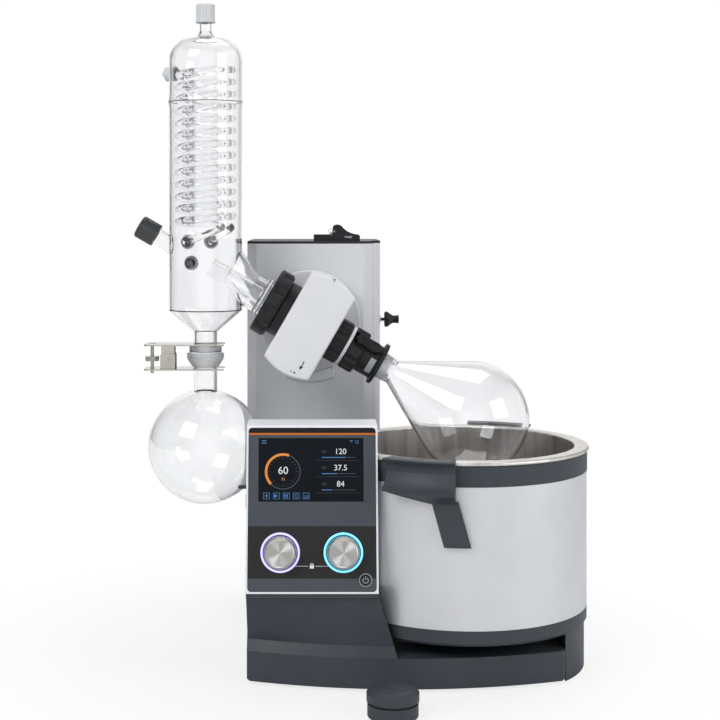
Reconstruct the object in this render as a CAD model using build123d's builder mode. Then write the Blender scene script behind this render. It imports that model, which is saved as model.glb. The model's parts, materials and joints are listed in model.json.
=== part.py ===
from build123d import *
import os
from math import cos, radians, sin, sqrt, tan

# Rotary evaporator with a vertical condenser, a lifting and tilting drive head and a heating bath.
# Lengths are millimetres. The origin lies on the bench straight below the crossing of the tilt axis
# and the rotation axis. X runs to the right, Y away from the user and Z up, and the condenser,
# the rotation axis and both flasks stand in the plane Y = 0.

# Layout of the main axes
TILT_HEIGHT = 374.6
DRIVE_SLOPE = 30.0
CONDENSER_X = -120.1
BATH_X = 173.0
BATH_Y = -34.0

# Clearances between pieces
RUNNING_GAP = 0.05
SLIDING_GAP = 0.3

# Base plate and feet
FOOT_HEIGHT = 3.4
FOOT_RADIUS = 13.0
PLATE_TOP = 36.0
PLATE_WALL = 5.0
PLATE_LEFT = -66.0
PLATE_RIGHT = 274.0
PLATE_FRONT = -163.0
PLATE_FRONT_BOW = 30.0
PLATE_BACK = 257.0
PLATE_REAR_LEFT = -82.0
PLATE_REAR_RIGHT = 92.0
PLATE_STEP_BACK = 120.0

# Rear column and lift guide
COLUMN_LEFT = -76.0
COLUMN_RIGHT = 86.6
COLUMN_FRONT = 120.0
COLUMN_BACK = 253.0
COLUMN_HEAD = 91.4
COLUMN_TOP = TILT_HEIGHT + COLUMN_HEAD
COLUMN_CORNER = 12.0
CAP_THICKNESS = 3.0
ROD_RADIUS = 6.0
ROD_X = 36.0
ROD_Y = 102.0
ROD_TOP = COLUMN_TOP - 11.0
LUG_HEIGHT = 15.0
ACTUATOR_TUBE_RADIUS = 9.0
ACTUATOR_TUBE_TOP = TILT_HEIGHT - 74.6
ACTUATOR_ROD_RADIUS = 5.0
ACTUATOR_ROD_BOTTOM = 90.0

# Lift carriage
CARRIAGE_FRONT = 75.0
CARRIAGE_FACE = 130.0
CARRIAGE_WIDTH = 152.0
CARRIAGE_CHAMFER_DEPTH = 11.0
CARRIAGE_BACK = 117.5
CARRIAGE_BOTTOM = 100.0
CARRIAGE_TOP = COLUMN_TOP
CARRIAGE_WALL = 3.0
BLOCK_BOTTOM = 110.0
BLOCK_TOP = 200.0
BLOCK_WIDTH = 104.0
CRESCENT_RADIUS = 76.0
CRESCENT_DEPTH = 4.5

# Tilting head
DISC_RADIUS = 60.0
DISC_FRONT = 50.0
TILT_SHAFT_RADIUS = 14.0
TILT_SHAFT_END = 108.0
HOUSING_FRONT = -46.0
HOUSING_LEFT = -28.0
HOUSING_RIGHT = 29.5
HUB_BORE = 19.0

# Condenser and coil
GLASS_WALL = 2.2
JACKET_RADIUS = 42.0
JACKET_LENGTH = 289.2
JACKET_BOTTOM = TILT_HEIGHT + 16.2
JACKET_TOP = JACKET_BOTTOM + JACKET_LENGTH
CONE_LENGTH = 25.2
CONE_BOTTOM = JACKET_BOTTOM - CONE_LENGTH
NECK_RADIUS = 13.2
DOME_HEIGHT = 23.4
DOME_TOP = JACKET_TOP + DOME_HEIGHT
SEAM_HEIGHT = JACKET_TOP - 49.4
SEAM_RADIUS = 43.2
TOP_NECK_RADIUS = 6.8
TOP_NECK_LENGTH = 19.1
TOP_NECK_END = DOME_TOP + TOP_NECK_LENGTH
TOP_CAP_LENGTH = 21.7
TOP_CAP_END = TOP_NECK_END + TOP_CAP_LENGTH
COIL_TUBE_RADIUS = 4.2
COIL_PITCH = 14.0
COIL_TOP = JACKET_TOP - 12.0
COIL_LENGTH = 182.0
COIL_BOTTOM = COIL_TOP - COIL_LENGTH
OUTER_COIL_RADIUS = 31.0
INNER_COIL_RADIUS = 19.6
ARM_RADIUS = 20.8
ARM_ROOT_RADIUS = 34.0
ARM_ROOT = -110.0
ARM_FLANGE_ROOT = -78.0
PORT_RADIUS = 9.5
PORT_END = -212.0
FEED_CAP_RADIUS = 13.3
FEED_CAP_START = -204.0
FEED_CAP_END = -227.0

# Ball joint and receiving flask
BALL_FLANGE_RADIUS = 18.5
BALL_FLANGE_TOP = CONE_BOTTOM - 15.2
BALL_FLANGE_BOTTOM = BALL_FLANGE_TOP - 7.2
JOINT_RING_BOTTOM = BALL_FLANGE_BOTTOM - 2.1
CUP_RADIUS = 21.3
CUP_BOTTOM = JOINT_RING_BOTTOM - 5.8
CUP_NECK_TOP = CUP_BOTTOM - 8.9
FLASK_RADIUS = 65.5
RECEIVER_NECK = 92.8
RECEIVER_HEIGHT = CUP_NECK_TOP - RECEIVER_NECK

# Rotor and evaporating flask, as distances along the rotation axis
NUT_START = 30.3
NUT_END = 47.1
NUT_RADIUS = 26.0
RING_END = 50.9
RING_RADIUS = 23.5
CLIP_LOBE_END = 68.5
CLIP_LOBE_RADIUS = 25.5
CLIP_NECK_END = 89.4
CLIP_NECK_RADIUS = 20.0
CLIP_FLANGE_END = 93.5
CLIP_FLANGE_RADIUS = 25.3
FLASK_NECK_RADIUS = 16.8
FLASK_THROAT_RADIUS = 14.3
FLASK_CENTRE = 217.0
CONE_HALF_ANGLE = 30.0
VAPOUR_TUBE_RADIUS = 10.5
VAPOUR_TUBE_START = -132.0
VAPOUR_TUBE_END = 108.0

# Heating bath
DRUM_RADIUS = 139.0
DRUM_BOTTOM = 67.5
DRUM_TOP = 217.0
BAND_TOP = 239.0
RIM_RADIUS = 141.5
RIM_TOP = 243.5
POT_RADIUS = 127.0
POT_FLOOR = 86.0
POT_WALL = 1.6
BATH_BASE_BOTTOM = 51.0
BATH_TRAVEL = 30.0
HANDLE_RADIUS = 160.0
HANDLE_ANGLE = 112.5
HANDLE_SPAN = 29.0
RAIL_HALF_WIDTH = 17.0

# Control panel
PANEL_LEFT = -66.0
PANEL_RIGHT = 73.5
PANEL_BOTTOM = 104.5
PANEL_TOP = 275.5
PANEL_FRONT_BOTTOM = -165.0
PANEL_FRONT_TOP = -131.5
PANEL_BACK = -77.5
PANEL_RECESS = 2.0
FRAME_LINE = 2.0
KNOB_RADIUS = 16.8
KNOB_RING_RADIUS = 20.7
KNOB_HEIGHT = 14.0
KNOB_SHAFT_RADIUS = 3.0
KNOB_LEVEL = 42.2
KNOB_LEFT_X = -29.7
KNOB_RIGHT_X = 36.7
POWER_X = 59.9
POWER_LEVEL = 14.1
POWER_RADIUS = 7.2
BATH_CLEARANCE = 0.8

# Loose puck in front of the bath
PUCK_X = 85.0
PUCK_Y = -233.0
PUCK_RADIUS = 26.5
PUCK_SPLIT = 13.5
PUCK_TOP = 28.0

# Frames and axes worked out from the layout
SLOPE = radians(DRIVE_SLOPE)
ALONG = Vector(cos(SLOPE), 0, -sin(SLOPE))
TILT_POINT = Vector(0, 0, TILT_HEIGHT)
DRIVE = Plane(origin=TILT_POINT, x_dir=ALONG, z_dir=(0, -1, 0))
DRIVE_AXIS = Axis(TILT_POINT, ALONG)
TILT = Plane(origin=TILT_POINT, x_dir=(1, 0, 0), z_dir=(0, -1, 0))
CONDENSER = Plane(origin=(CONDENSER_X, 0, 0), x_dir=(1, 0, 0), z_dir=(0, -1, 0))
CONDENSER_AXIS = Axis((CONDENSER_X, 0, 0), (0, 0, 1))
BATH = Plane(origin=(BATH_X, BATH_Y, 0), x_dir=(1, 0, 0), z_dir=(0, -1, 0))
BATH_AXIS = Axis((BATH_X, BATH_Y, 0), (0, 0, 1))
PANEL_LEAN = Vector(0, PANEL_FRONT_TOP - PANEL_FRONT_BOTTOM, PANEL_TOP - PANEL_BOTTOM).normalized()
PANEL = Plane(
    origin=(0, PANEL_FRONT_BOTTOM, PANEL_BOTTOM),
    x_dir=(1, 0, 0),
    z_dir=(0, -PANEL_LEAN.Z, PANEL_LEAN.Y),
)


def across(distance):
    """Plane across the rotation axis, at a distance along it from the tilt axis."""
    return Plane(origin=TILT_POINT + ALONG * distance, x_dir=(0, 1, 0), z_dir=ALONG)


def level(height):
    """Horizontal plane at a height above the bench."""
    return Plane.XY.offset(height)


def turn(plane, axis, outline, mode=Mode.ADD):
    """Turn a closed straight-sided outline about an axis that lies in its plane."""
    with BuildSketch(plane) as profile:
        with BuildLine():
            Polyline(*outline, close=True)
        make_face()
    revolve(profile.sketch, axis=axis, mode=mode)


def disc(plane, radius, length, mode=Mode.ADD):
    """Round pin or bore that starts on a plane."""
    with BuildSketch(plane) as section:
        Circle(radius)
    extrude(section.sketch, amount=length, mode=mode)


def finish(piece, label):
    """Name a finished piece and write it."""
    piece.part.label = label
    export_step(piece.part, f"parts/{label}.step")


os.makedirs("parts", exist_ok=True)

# Base plate: a tray open underneath, with a bowed front and a boss over each foot
PLATE_MIDDLE = (PLATE_LEFT + PLATE_RIGHT) / 2
PLATE_HALF = (PLATE_RIGHT - PLATE_LEFT) / 2
PLATE_ARC = (PLATE_HALF**2 + PLATE_FRONT_BOW**2) / (2 * PLATE_FRONT_BOW)
PLATE_ARC_Y = PLATE_FRONT + PLATE_ARC
PLATE_CORNER_FRONT = PLATE_FRONT + PLATE_FRONT_BOW
PLATE_RIGHT_BACK = PLATE_STEP_BACK - 45.0
FOOT_INSET = 20.0
BOSS_WALL = 3.4
FOOT_PLACES = [
    (0, 0),
    (PLATE_LEFT + FOOT_INSET, PLATE_CORNER_FRONT + FOOT_INSET),
    (PLATE_REAR_LEFT + FOOT_INSET, PLATE_BACK - FOOT_INSET),
    (PLATE_REAR_RIGHT - FOOT_INSET, PLATE_BACK - FOOT_INSET),
    (PLATE_RIGHT - FOOT_INSET, PLATE_CORNER_FRONT + FOOT_INSET),
    (PLATE_RIGHT - FOOT_INSET, PLATE_RIGHT_BACK - FOOT_INSET),
]


def plate_outline():
    """Outline of the base plate, straight sides and one bowed front edge."""
    with BuildLine() as outline:
        ThreePointArc(
            (PLATE_LEFT, PLATE_CORNER_FRONT),
            (PLATE_MIDDLE, PLATE_FRONT),
            (PLATE_RIGHT, PLATE_CORNER_FRONT),
        )
        Polyline(
            (PLATE_RIGHT, PLATE_CORNER_FRONT),
            (PLATE_RIGHT, PLATE_RIGHT_BACK),
            (PLATE_RIGHT - 45, PLATE_STEP_BACK),
            (PLATE_REAR_RIGHT, PLATE_STEP_BACK),
            (PLATE_REAR_RIGHT, PLATE_BACK),
            (PLATE_REAR_LEFT, PLATE_BACK),
            (PLATE_LEFT, PLATE_CORNER_FRONT),
        )
    make_face(outline.edges())


with BuildPart() as base_plate:
    with BuildSketch(level(FOOT_HEIGHT)):
        plate_outline()
    extrude(amount=PLATE_TOP - FOOT_HEIGHT)
    fillet(base_plate.edges().filter_by(Axis.Z), radius=6)
    chamfer(base_plate.edges().group_by(Axis.Z)[0], length=2)
    with BuildSketch(level(FOOT_HEIGHT)):
        plate_outline()
        offset(amount=-PLATE_WALL)
    extrude(amount=PLATE_TOP - FOOT_HEIGHT - PLATE_WALL, mode=Mode.SUBTRACT)
    with BuildSketch(level(FOOT_HEIGHT)):
        with Locations(*FOOT_PLACES):
            Circle(FOOT_RADIUS + BOSS_WALL)
    extrude(amount=PLATE_TOP - FOOT_HEIGHT - PLATE_WALL / 2)
finish(base_plate, "base_plate")

with BuildPart() as rubber_feet:
    with BuildSketch(Plane.XY):
        with Locations(*FOOT_PLACES):
            Circle(FOOT_RADIUS)
    extrude(amount=FOOT_HEIGHT)
    chamfer(rubber_feet.edges().group_by(Axis.Z)[0], length=1)
finish(rubber_feet, "rubber_feet")

# Rail on the base plate that guides the bath sideways
RAIL_THICKNESS = 8.0
RAIL_TOP = PLATE_TOP + RAIL_THICKNESS
SADDLE_LEFT = BATH_X - 50.0
SADDLE_RIGHT = BATH_X + 45.0
RAIL_LEFT = SADDLE_LEFT - 10.0
RAIL_RIGHT = SADDLE_RIGHT + BATH_TRAVEL + 5.0
RAIL_SCREW_INSET = 15.0
with BuildPart() as bath_rail:
    with BuildSketch(level(PLATE_TOP)):
        with Locations(((RAIL_LEFT + RAIL_RIGHT) / 2, BATH_Y)):
            Rectangle(RAIL_RIGHT - RAIL_LEFT, 2 * RAIL_HALF_WIDTH)
    extrude(amount=RAIL_TOP - PLATE_TOP)
    fillet(bath_rail.edges().filter_by(Axis.Z), radius=4)
    with Locations(bath_rail.faces().sort_by(Axis.Z)[-1]):
        with GridLocations(RAIL_RIGHT - RAIL_LEFT - 2 * RAIL_SCREW_INSET, 0.1, 2, 1):
            CounterSinkHole(2.2, 4.2)
finish(bath_rail, "bath_rail")

# Rear column: a tube with rounded corners, two lugs for the guide rods and a bush for the thumb knob
COLUMN_MIDDLE_X = (COLUMN_LEFT + COLUMN_RIGHT) / 2
COLUMN_MIDDLE_Y = (COLUMN_FRONT + COLUMN_BACK) / 2
COLUMN_WALL = 3.0
INLET_Z = 78.0
INLET_X = 40.0
INLET_WIDTH = 48.0
INLET_DEPTH = 22.0
THUMB_Y = 150.0
THUMB_Z = COLUMN_TOP - 96.3
THUMB = Plane(origin=(0, THUMB_Y, THUMB_Z), x_dir=(1, 0, 0), z_dir=(0, -1, 0))
THUMB_AXIS = Axis((0, THUMB_Y, THUMB_Z), (1, 0, 0))
THUMB_STEM = 2.0


def column_outline(inset):
    """Plan of the column, drawn smaller by a wall when it cuts the hollow."""
    with Locations((COLUMN_MIDDLE_X, COLUMN_MIDDLE_Y)):
        RectangleRounded(
            COLUMN_RIGHT - COLUMN_LEFT - 2 * inset,
            COLUMN_BACK - COLUMN_FRONT - 2 * inset,
            COLUMN_CORNER - inset,
        )


with BuildPart() as column_shell:
    with BuildSketch(level(PLATE_TOP)):
        column_outline(0)
    extrude(amount=COLUMN_TOP - PLATE_TOP)
    with BuildSketch(level(PLATE_TOP)):
        column_outline(COLUMN_WALL)
    extrude(amount=COLUMN_TOP - PLATE_TOP, mode=Mode.SUBTRACT)
    with BuildSketch(level(ROD_TOP - LUG_HEIGHT)):
        for side in (-1, 1):
            with Locations((side * ROD_X, (ROD_Y + COLUMN_FRONT + COLUMN_WALL) / 2)):
                Rectangle(2 * ROD_RADIUS + 8, COLUMN_FRONT + COLUMN_WALL - ROD_Y)
            with Locations((side * ROD_X, ROD_Y)):
                Circle(ROD_RADIUS + 4)
    extrude(amount=LUG_HEIGHT)
    for side in (-1, 1):
        with BuildSketch(level(ROD_TOP - LUG_HEIGHT)):
            with Locations((side * ROD_X, ROD_Y)):
                Circle(ROD_RADIUS + RUNNING_GAP)
        extrude(amount=LUG_HEIGHT, mode=Mode.SUBTRACT)
    with BuildSketch(Plane.XZ.offset(-COLUMN_BACK)):
        with Locations((INLET_X, INLET_Z)):
            Rectangle(INLET_WIDTH, 27)
    extrude(amount=COLUMN_WALL + 1, mode=Mode.SUBTRACT)
    turn(
        THUMB,
        THUMB_AXIS,
        [
            (COLUMN_RIGHT - COLUMN_WALL / 2, THUMB_STEM + RUNNING_GAP),
            (COLUMN_RIGHT - COLUMN_WALL / 2, 4.6),
            (COLUMN_RIGHT, 4.6),
            (COLUMN_RIGHT + 1.8, 4.0),
            (COLUMN_RIGHT + 1.8, THUMB_STEM + RUNNING_GAP),
        ],
    )
    disc(
        Plane(origin=(COLUMN_RIGHT - COLUMN_WALL - 1, THUMB_Y, THUMB_Z), x_dir=(0, 1, 0), z_dir=(1, 0, 0)),
        THUMB_STEM + RUNNING_GAP,
        COLUMN_WALL + 3,
        Mode.SUBTRACT,
    )
finish(column_shell, "column_shell")

with BuildPart() as column_cap:
    with BuildSketch(level(COLUMN_TOP)):
        column_outline(-0.6)
    extrude(amount=CAP_THICKNESS)
    fillet(column_cap.edges().group_by(Axis.Z)[-1], radius=1.2)
    with BuildSketch(level(COLUMN_TOP - 6)):
        column_outline(COLUMN_WALL + SLIDING_GAP)
        offset(amount=-2.5, mode=Mode.SUBTRACT)
    extrude(amount=6)
finish(column_cap, "column_cap")

with BuildPart() as guide_rods:
    with BuildSketch(level(PLATE_TOP)):
        with Locations((-ROD_X, ROD_Y), (ROD_X, ROD_Y)):
            Circle(ROD_RADIUS)
    extrude(amount=ROD_TOP - PLATE_TOP)
    chamfer(guide_rods.edges().group_by(Axis.Z)[-1], length=1)
finish(guide_rods, "guide_rods")

# Lift actuator: the tube stands on the base plate and the rod moves with the carriage
ACTUATOR = Plane(origin=(0, ROD_Y, 0), x_dir=(1, 0, 0), z_dir=(0, -1, 0))
ACTUATOR_AXIS = Axis((0, ROD_Y, 0), (0, 0, 1))
with BuildPart() as actuator_tube:
    turn(
        ACTUATOR,
        ACTUATOR_AXIS,
        [
            (ACTUATOR_ROD_RADIUS + RUNNING_GAP, PLATE_TOP),
            (ACTUATOR_TUBE_RADIUS + 7, PLATE_TOP),
            (ACTUATOR_TUBE_RADIUS + 7, PLATE_TOP + 5),
            (ACTUATOR_TUBE_RADIUS, PLATE_TOP + 9),
            (ACTUATOR_TUBE_RADIUS, ACTUATOR_TUBE_TOP - 2),
            (ACTUATOR_TUBE_RADIUS - 2, ACTUATOR_TUBE_TOP),
            (ACTUATOR_ROD_RADIUS + RUNNING_GAP, ACTUATOR_TUBE_TOP),
        ],
    )
finish(actuator_tube, "actuator_tube")

# Mains inlet in the back of the column, with a recessed socket and three contact pins
with BuildPart() as power_inlet:
    with BuildSketch(Plane.XZ.offset(-COLUMN_BACK)):
        with Locations((INLET_X, INLET_Z)):
            RectangleRounded(INLET_WIDTH + 8, 33, 5)
    extrude(amount=-2.5)
    with BuildSketch(Plane.XZ.offset(-COLUMN_BACK)):
        with Locations((INLET_X, INLET_Z)):
            Rectangle(INLET_WIDTH - 1, 26)
    extrude(amount=INLET_DEPTH)
    with BuildSketch(Plane.XZ.offset(-COLUMN_BACK - 2.5)):
        with Locations((INLET_X, INLET_Z)):
            RectangleRounded(25, 17, 4)
    extrude(amount=INLET_DEPTH - 2, mode=Mode.SUBTRACT)
    with BuildSketch(Plane.XZ.offset(-COLUMN_BACK + INLET_DEPTH - 4.5)):
        for pin_x, pin_z in ((-7, -2), (0, 2), (7, -2)):
            with Locations((INLET_X + pin_x, INLET_Z + pin_z)):
                Rectangle(2, 4)
    extrude(amount=-14)
finish(power_inlet, "power_inlet")

# Control panel housing: a leaning hollow slab, cut round on the side where the bath stands
PANEL_WALL = 5.0
PANEL_LENGTH = sqrt((PANEL_TOP - PANEL_BOTTOM) ** 2 + (PANEL_FRONT_TOP - PANEL_FRONT_BOTTOM) ** 2)
BATH_CARVE = RIM_RADIUS + BATH_CLEARANCE
DISPLAY_LEFT = -53.1
DISPLAY_RIGHT = 58.4
DISPLAY_BOTTOM = 94.8
DISPLAY_TOP = 161.4
PANEL_CORNER = 4.0


def panel_profile():
    """Side view of the panel housing."""
    with BuildLine() as outline:
        Polyline(
            (PANEL_FRONT_BOTTOM, PANEL_BOTTOM),
            (PANEL_FRONT_TOP, PANEL_TOP),
            (PANEL_BACK, PANEL_TOP),
            (PANEL_BACK, PANEL_BOTTOM),
            close=True,
        )
    make_face(outline.edges())


def panel_spot(across_x, up):
    """Plane through the panel's normal at a point of its front, for turned pieces."""
    return Plane(
        origin=PANEL.from_local_coords((across_x, up, 0)),
        x_dir=(1, 0, 0),
        z_dir=(0, -PANEL_LEAN.Y, -PANEL_LEAN.Z),
    )


def panel_axis(across_x, up):
    """Axis along the panel's normal at a point of its front."""
    return Axis(PANEL.from_local_coords((across_x, up, 0)), PANEL.z_dir)


def panel_field(inset, corner):
    """The rectangle of the panel front, drawn smaller where the cover glass needs play."""
    with Locations(((PANEL_LEFT + PANEL_RIGHT) / 2, PANEL_LENGTH / 2)):
        RectangleRounded(
            PANEL_RIGHT - PANEL_LEFT - 2 * inset,
            PANEL_LENGTH - 2 * inset,
            corner,
        )


with BuildPart() as panel_cavity:
    with BuildSketch(Plane.YZ.offset(PANEL_LEFT + PANEL_WALL)):
        panel_profile()
        offset(amount=-PANEL_WALL)
    extrude(amount=PANEL_RIGHT - PANEL_LEFT - 2 * PANEL_WALL)
    with BuildSketch(level(PANEL_BOTTOM)):
        with Locations((BATH_X, BATH_Y)):
            Circle(BATH_CARVE + PANEL_WALL)
    extrude(amount=PANEL_TOP - PANEL_BOTTOM, mode=Mode.SUBTRACT)

with BuildPart() as panel_shell:
    with BuildSketch(Plane.YZ.offset(PANEL_LEFT)):
        panel_profile()
    extrude(amount=PANEL_RIGHT - PANEL_LEFT)
    fillet(panel_shell.edges().group_by(Axis.Z)[-1].filter_by(Axis.X), radius=3)
    add(panel_cavity.part, mode=Mode.SUBTRACT)
    with BuildSketch(level(PANEL_BOTTOM)):
        with Locations((BATH_X, BATH_Y)):
            Circle(BATH_CARVE)
    extrude(amount=RIM_TOP + 6 - PANEL_BOTTOM, mode=Mode.SUBTRACT)
    with BuildSketch(PANEL):
        panel_field(FRAME_LINE, PANEL_CORNER)
    extrude(amount=-PANEL_RECESS, mode=Mode.SUBTRACT)
    with BuildSketch(PANEL.offset(-PANEL_RECESS)):
        with Locations((KNOB_LEFT_X, KNOB_LEVEL), (KNOB_RIGHT_X, KNOB_LEVEL)):
            Circle(KNOB_SHAFT_RADIUS + RUNNING_GAP)
    extrude(amount=-PANEL_WALL, mode=Mode.SUBTRACT)
    with BuildSketch(PANEL.offset(-PANEL_RECESS)):
        with Locations((POWER_X, POWER_LEVEL)):
            Circle(POWER_RADIUS + RUNNING_GAP)
    extrude(amount=-1.6, mode=Mode.SUBTRACT)
finish(panel_shell, "panel_shell")

# Panel front: a flat cover with openings for the display, the knob rings and the power button
with BuildPart() as panel_front:
    with BuildSketch(PANEL.offset(-PANEL_RECESS)):
        panel_field(FRAME_LINE + RUNNING_GAP, PANEL_CORNER)
        with Locations(((DISPLAY_LEFT + DISPLAY_RIGHT) / 2, (DISPLAY_BOTTOM + DISPLAY_TOP) / 2)):
            Rectangle(DISPLAY_RIGHT - DISPLAY_LEFT, DISPLAY_TOP - DISPLAY_BOTTOM, mode=Mode.SUBTRACT)
        with Locations((KNOB_LEFT_X, KNOB_LEVEL), (KNOB_RIGHT_X, KNOB_LEVEL)):
            Circle(KNOB_RING_RADIUS + RUNNING_GAP, mode=Mode.SUBTRACT)
        with Locations((POWER_X, POWER_LEVEL)):
            Circle(POWER_RADIUS + RUNNING_GAP, mode=Mode.SUBTRACT)
    extrude(amount=PANEL_RECESS)
finish(panel_front, "panel_front")

with BuildPart() as display_glass:
    with BuildSketch(PANEL.offset(-PANEL_RECESS)):
        with Locations(((DISPLAY_LEFT + DISPLAY_RIGHT) / 2, (DISPLAY_BOTTOM + DISPLAY_TOP) / 2)):
            Rectangle(
                DISPLAY_RIGHT - DISPLAY_LEFT - 2 * RUNNING_GAP,
                DISPLAY_TOP - DISPLAY_BOTTOM - 2 * RUNNING_GAP,
            )
    extrude(amount=PANEL_RECESS)
finish(display_glass, "display_glass")

# Two light rings let into the panel front, one round each knob
KNOB_PLAY = 0.5
with BuildPart() as light_rings:
    for knob_x in (KNOB_LEFT_X, KNOB_RIGHT_X):
        turn(
            panel_spot(knob_x, KNOB_LEVEL),
            panel_axis(knob_x, KNOB_LEVEL),
            [
                (KNOB_RADIUS + KNOB_PLAY, -PANEL_RECESS),
                (KNOB_RING_RADIUS, -PANEL_RECESS),
                (KNOB_RING_RADIUS, 0.2),
                (KNOB_RING_RADIUS - 0.6, 0.6),
                (KNOB_RADIUS + KNOB_PLAY, 0.6),
            ],
        )
finish(light_rings, "light_rings")

# Two knobs: a shaft that can be pressed and a cap that turns on it
for side, knob_x in (("left", KNOB_LEFT_X), ("right", KNOB_RIGHT_X)):
    spot = panel_spot(knob_x, KNOB_LEVEL)
    axis = panel_axis(knob_x, KNOB_LEVEL)
    with BuildPart() as knob_shaft:
        turn(
            spot,
            axis,
            [
                (0, -PANEL_RECESS - PANEL_WALL - 9),
                (KNOB_SHAFT_RADIUS, -PANEL_RECESS - PANEL_WALL - 9),
                (KNOB_SHAFT_RADIUS, -PANEL_WALL - 2.3),
                (KNOB_SHAFT_RADIUS + 3, -PANEL_WALL - 2.3),
                (KNOB_SHAFT_RADIUS + 3, -PANEL_WALL - SLIDING_GAP),
                (KNOB_SHAFT_RADIUS, -PANEL_WALL - SLIDING_GAP),
                (KNOB_SHAFT_RADIUS, KNOB_HEIGHT - 4),
                (0, KNOB_HEIGHT - 4),
            ],
        )
    finish(knob_shaft, f"{side}_knob_shaft")
    with BuildPart() as knob:
        turn(
            spot,
            axis,
            [
                (0, KNOB_HEIGHT - 4 + RUNNING_GAP),
                (KNOB_SHAFT_RADIUS + RUNNING_GAP, KNOB_HEIGHT - 4 + RUNNING_GAP),
                (KNOB_SHAFT_RADIUS + RUNNING_GAP, 0.2),
                (KNOB_RADIUS - 1, 0.2),
                (KNOB_RADIUS, 1.4),
                (KNOB_RADIUS - 0.4, KNOB_HEIGHT - 1.2),
                (KNOB_RADIUS - 1.6, KNOB_HEIGHT),
                (KNOB_RADIUS - 3, KNOB_HEIGHT - 0.3),
                (0, KNOB_HEIGHT - 0.9),
            ],
        )
    finish(knob, f"{side}_knob")

with BuildPart() as power_button:
    turn(
        panel_spot(POWER_X, POWER_LEVEL),
        panel_axis(POWER_X, POWER_LEVEL),
        [
            (0, -PANEL_RECESS),
            (POWER_RADIUS, -PANEL_RECESS),
            (POWER_RADIUS, 0.2),
            (POWER_RADIUS - 0.6, 0.6),
            (0, 0.3),
        ],
    )
finish(power_button, "power_button")

# Dock under the panel: a bevelled skirt on the plate, a leaning deck and a thin lip at the top
DOCK_LEFT = PLATE_LEFT + 0.5
DOCK_RIGHT_BOTTOM = 93.6
DOCK_FOLD = PLATE_TOP + 11.0
DOCK_BEVEL = 8.0
DOCK_SHOULDER = PANEL_BOTTOM - 4.5
DOCK_TOP_FRONT = PANEL_FRONT_BOTTOM + 5.0


def front_y(x, inset):
    """Place of the bowed plate edge at a given X, or of a line parallel to it further in."""
    return PLATE_ARC_Y - sqrt((PLATE_ARC - inset) ** 2 - (x - PLATE_MIDDLE) ** 2)


def dock_slice(height, inset):
    """Plan of the dock at a height, with its front edge parallel to the plate edge."""
    share = (height - PLATE_TOP) / (DOCK_SHOULDER - PLATE_TOP)
    right = DOCK_RIGHT_BOTTOM + share * (PANEL_RIGHT - DOCK_RIGHT_BOTTOM)
    middle = (DOCK_LEFT + right) / 2
    with BuildSketch(level(height)) as plan:
        with BuildLine():
            ThreePointArc(
                (DOCK_LEFT, front_y(DOCK_LEFT, inset)),
                (middle, front_y(middle, inset)),
                (right, front_y(right, inset)),
            )
            Polyline(
                (right, front_y(right, inset)),
                (right, PANEL_BACK),
                (DOCK_LEFT, PANEL_BACK),
                (DOCK_LEFT, front_y(DOCK_LEFT, inset)),
            )
        make_face()
    return plan.sketch


def dock_block(height, front):
    """Straight-edged plan of the dock at a height."""
    with BuildSketch(level(height)) as plan:
        with Locations(((DOCK_LEFT + PANEL_RIGHT) / 2, (front + PANEL_BACK) / 2)):
            Rectangle(PANEL_RIGHT - DOCK_LEFT, PANEL_BACK - front)
    return plan.sketch


with BuildPart() as dock_housing:
    fold = dock_slice(DOCK_FOLD, DOCK_BEVEL)
    loft([dock_slice(PLATE_TOP, 0), fold], ruled=True)
    loft([fold, dock_block(DOCK_SHOULDER, DOCK_TOP_FRONT)], ruled=True)
    extrude(dock_block(DOCK_SHOULDER, PANEL_FRONT_BOTTOM + 1.5), amount=PANEL_BOTTOM - DOCK_SHOULDER)
    with BuildSketch(level(PLATE_TOP)):
        with Locations((BATH_X, BATH_Y)):
            Circle(BATH_CARVE)
    extrude(amount=PANEL_BOTTOM - PLATE_TOP, mode=Mode.SUBTRACT)
finish(dock_housing, "dock_housing")

# Connector plate on the left side of the panel, with grip ridges and a short spigot
CONNECTOR_Y = -112.0
CONNECTOR_Z = 208.0
with BuildPart() as side_connector:
    with BuildSketch(Plane.YZ.offset(PANEL_LEFT)):
        with Locations((CONNECTOR_Y, CONNECTOR_Z)):
            RectangleRounded(20, 48, 3)
    extrude(amount=-1.2)
    with BuildSketch(Plane.YZ.offset(PANEL_LEFT - 1.2)):
        with Locations((CONNECTOR_Y, CONNECTOR_Z - 16)):
            with GridLocations(1, 3, 1, 5):
                Rectangle(12, 1.4)
    extrude(amount=-0.8)
    with BuildSketch(Plane.YZ.offset(PANEL_LEFT - 1.2)):
        with Locations((CONNECTOR_Y, CONNECTOR_Z - 1.3)):
            Circle(2)
    extrude(amount=-9)
    chamfer(side_connector.edges().group_by(Axis.X)[0], length=0.5)
finish(side_connector, "side_connector")

# Lift carriage: a three-sided cover that is open at the back, with the bore for the tilt shaft
CARRIAGE_SIDE = CARRIAGE_WIDTH / 2
CRESCENT_LEFT = -112.0
CRESCENT_RIGHT = -65.0
CARRIAGE_SHAFT_PLAY = 0.6


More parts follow.
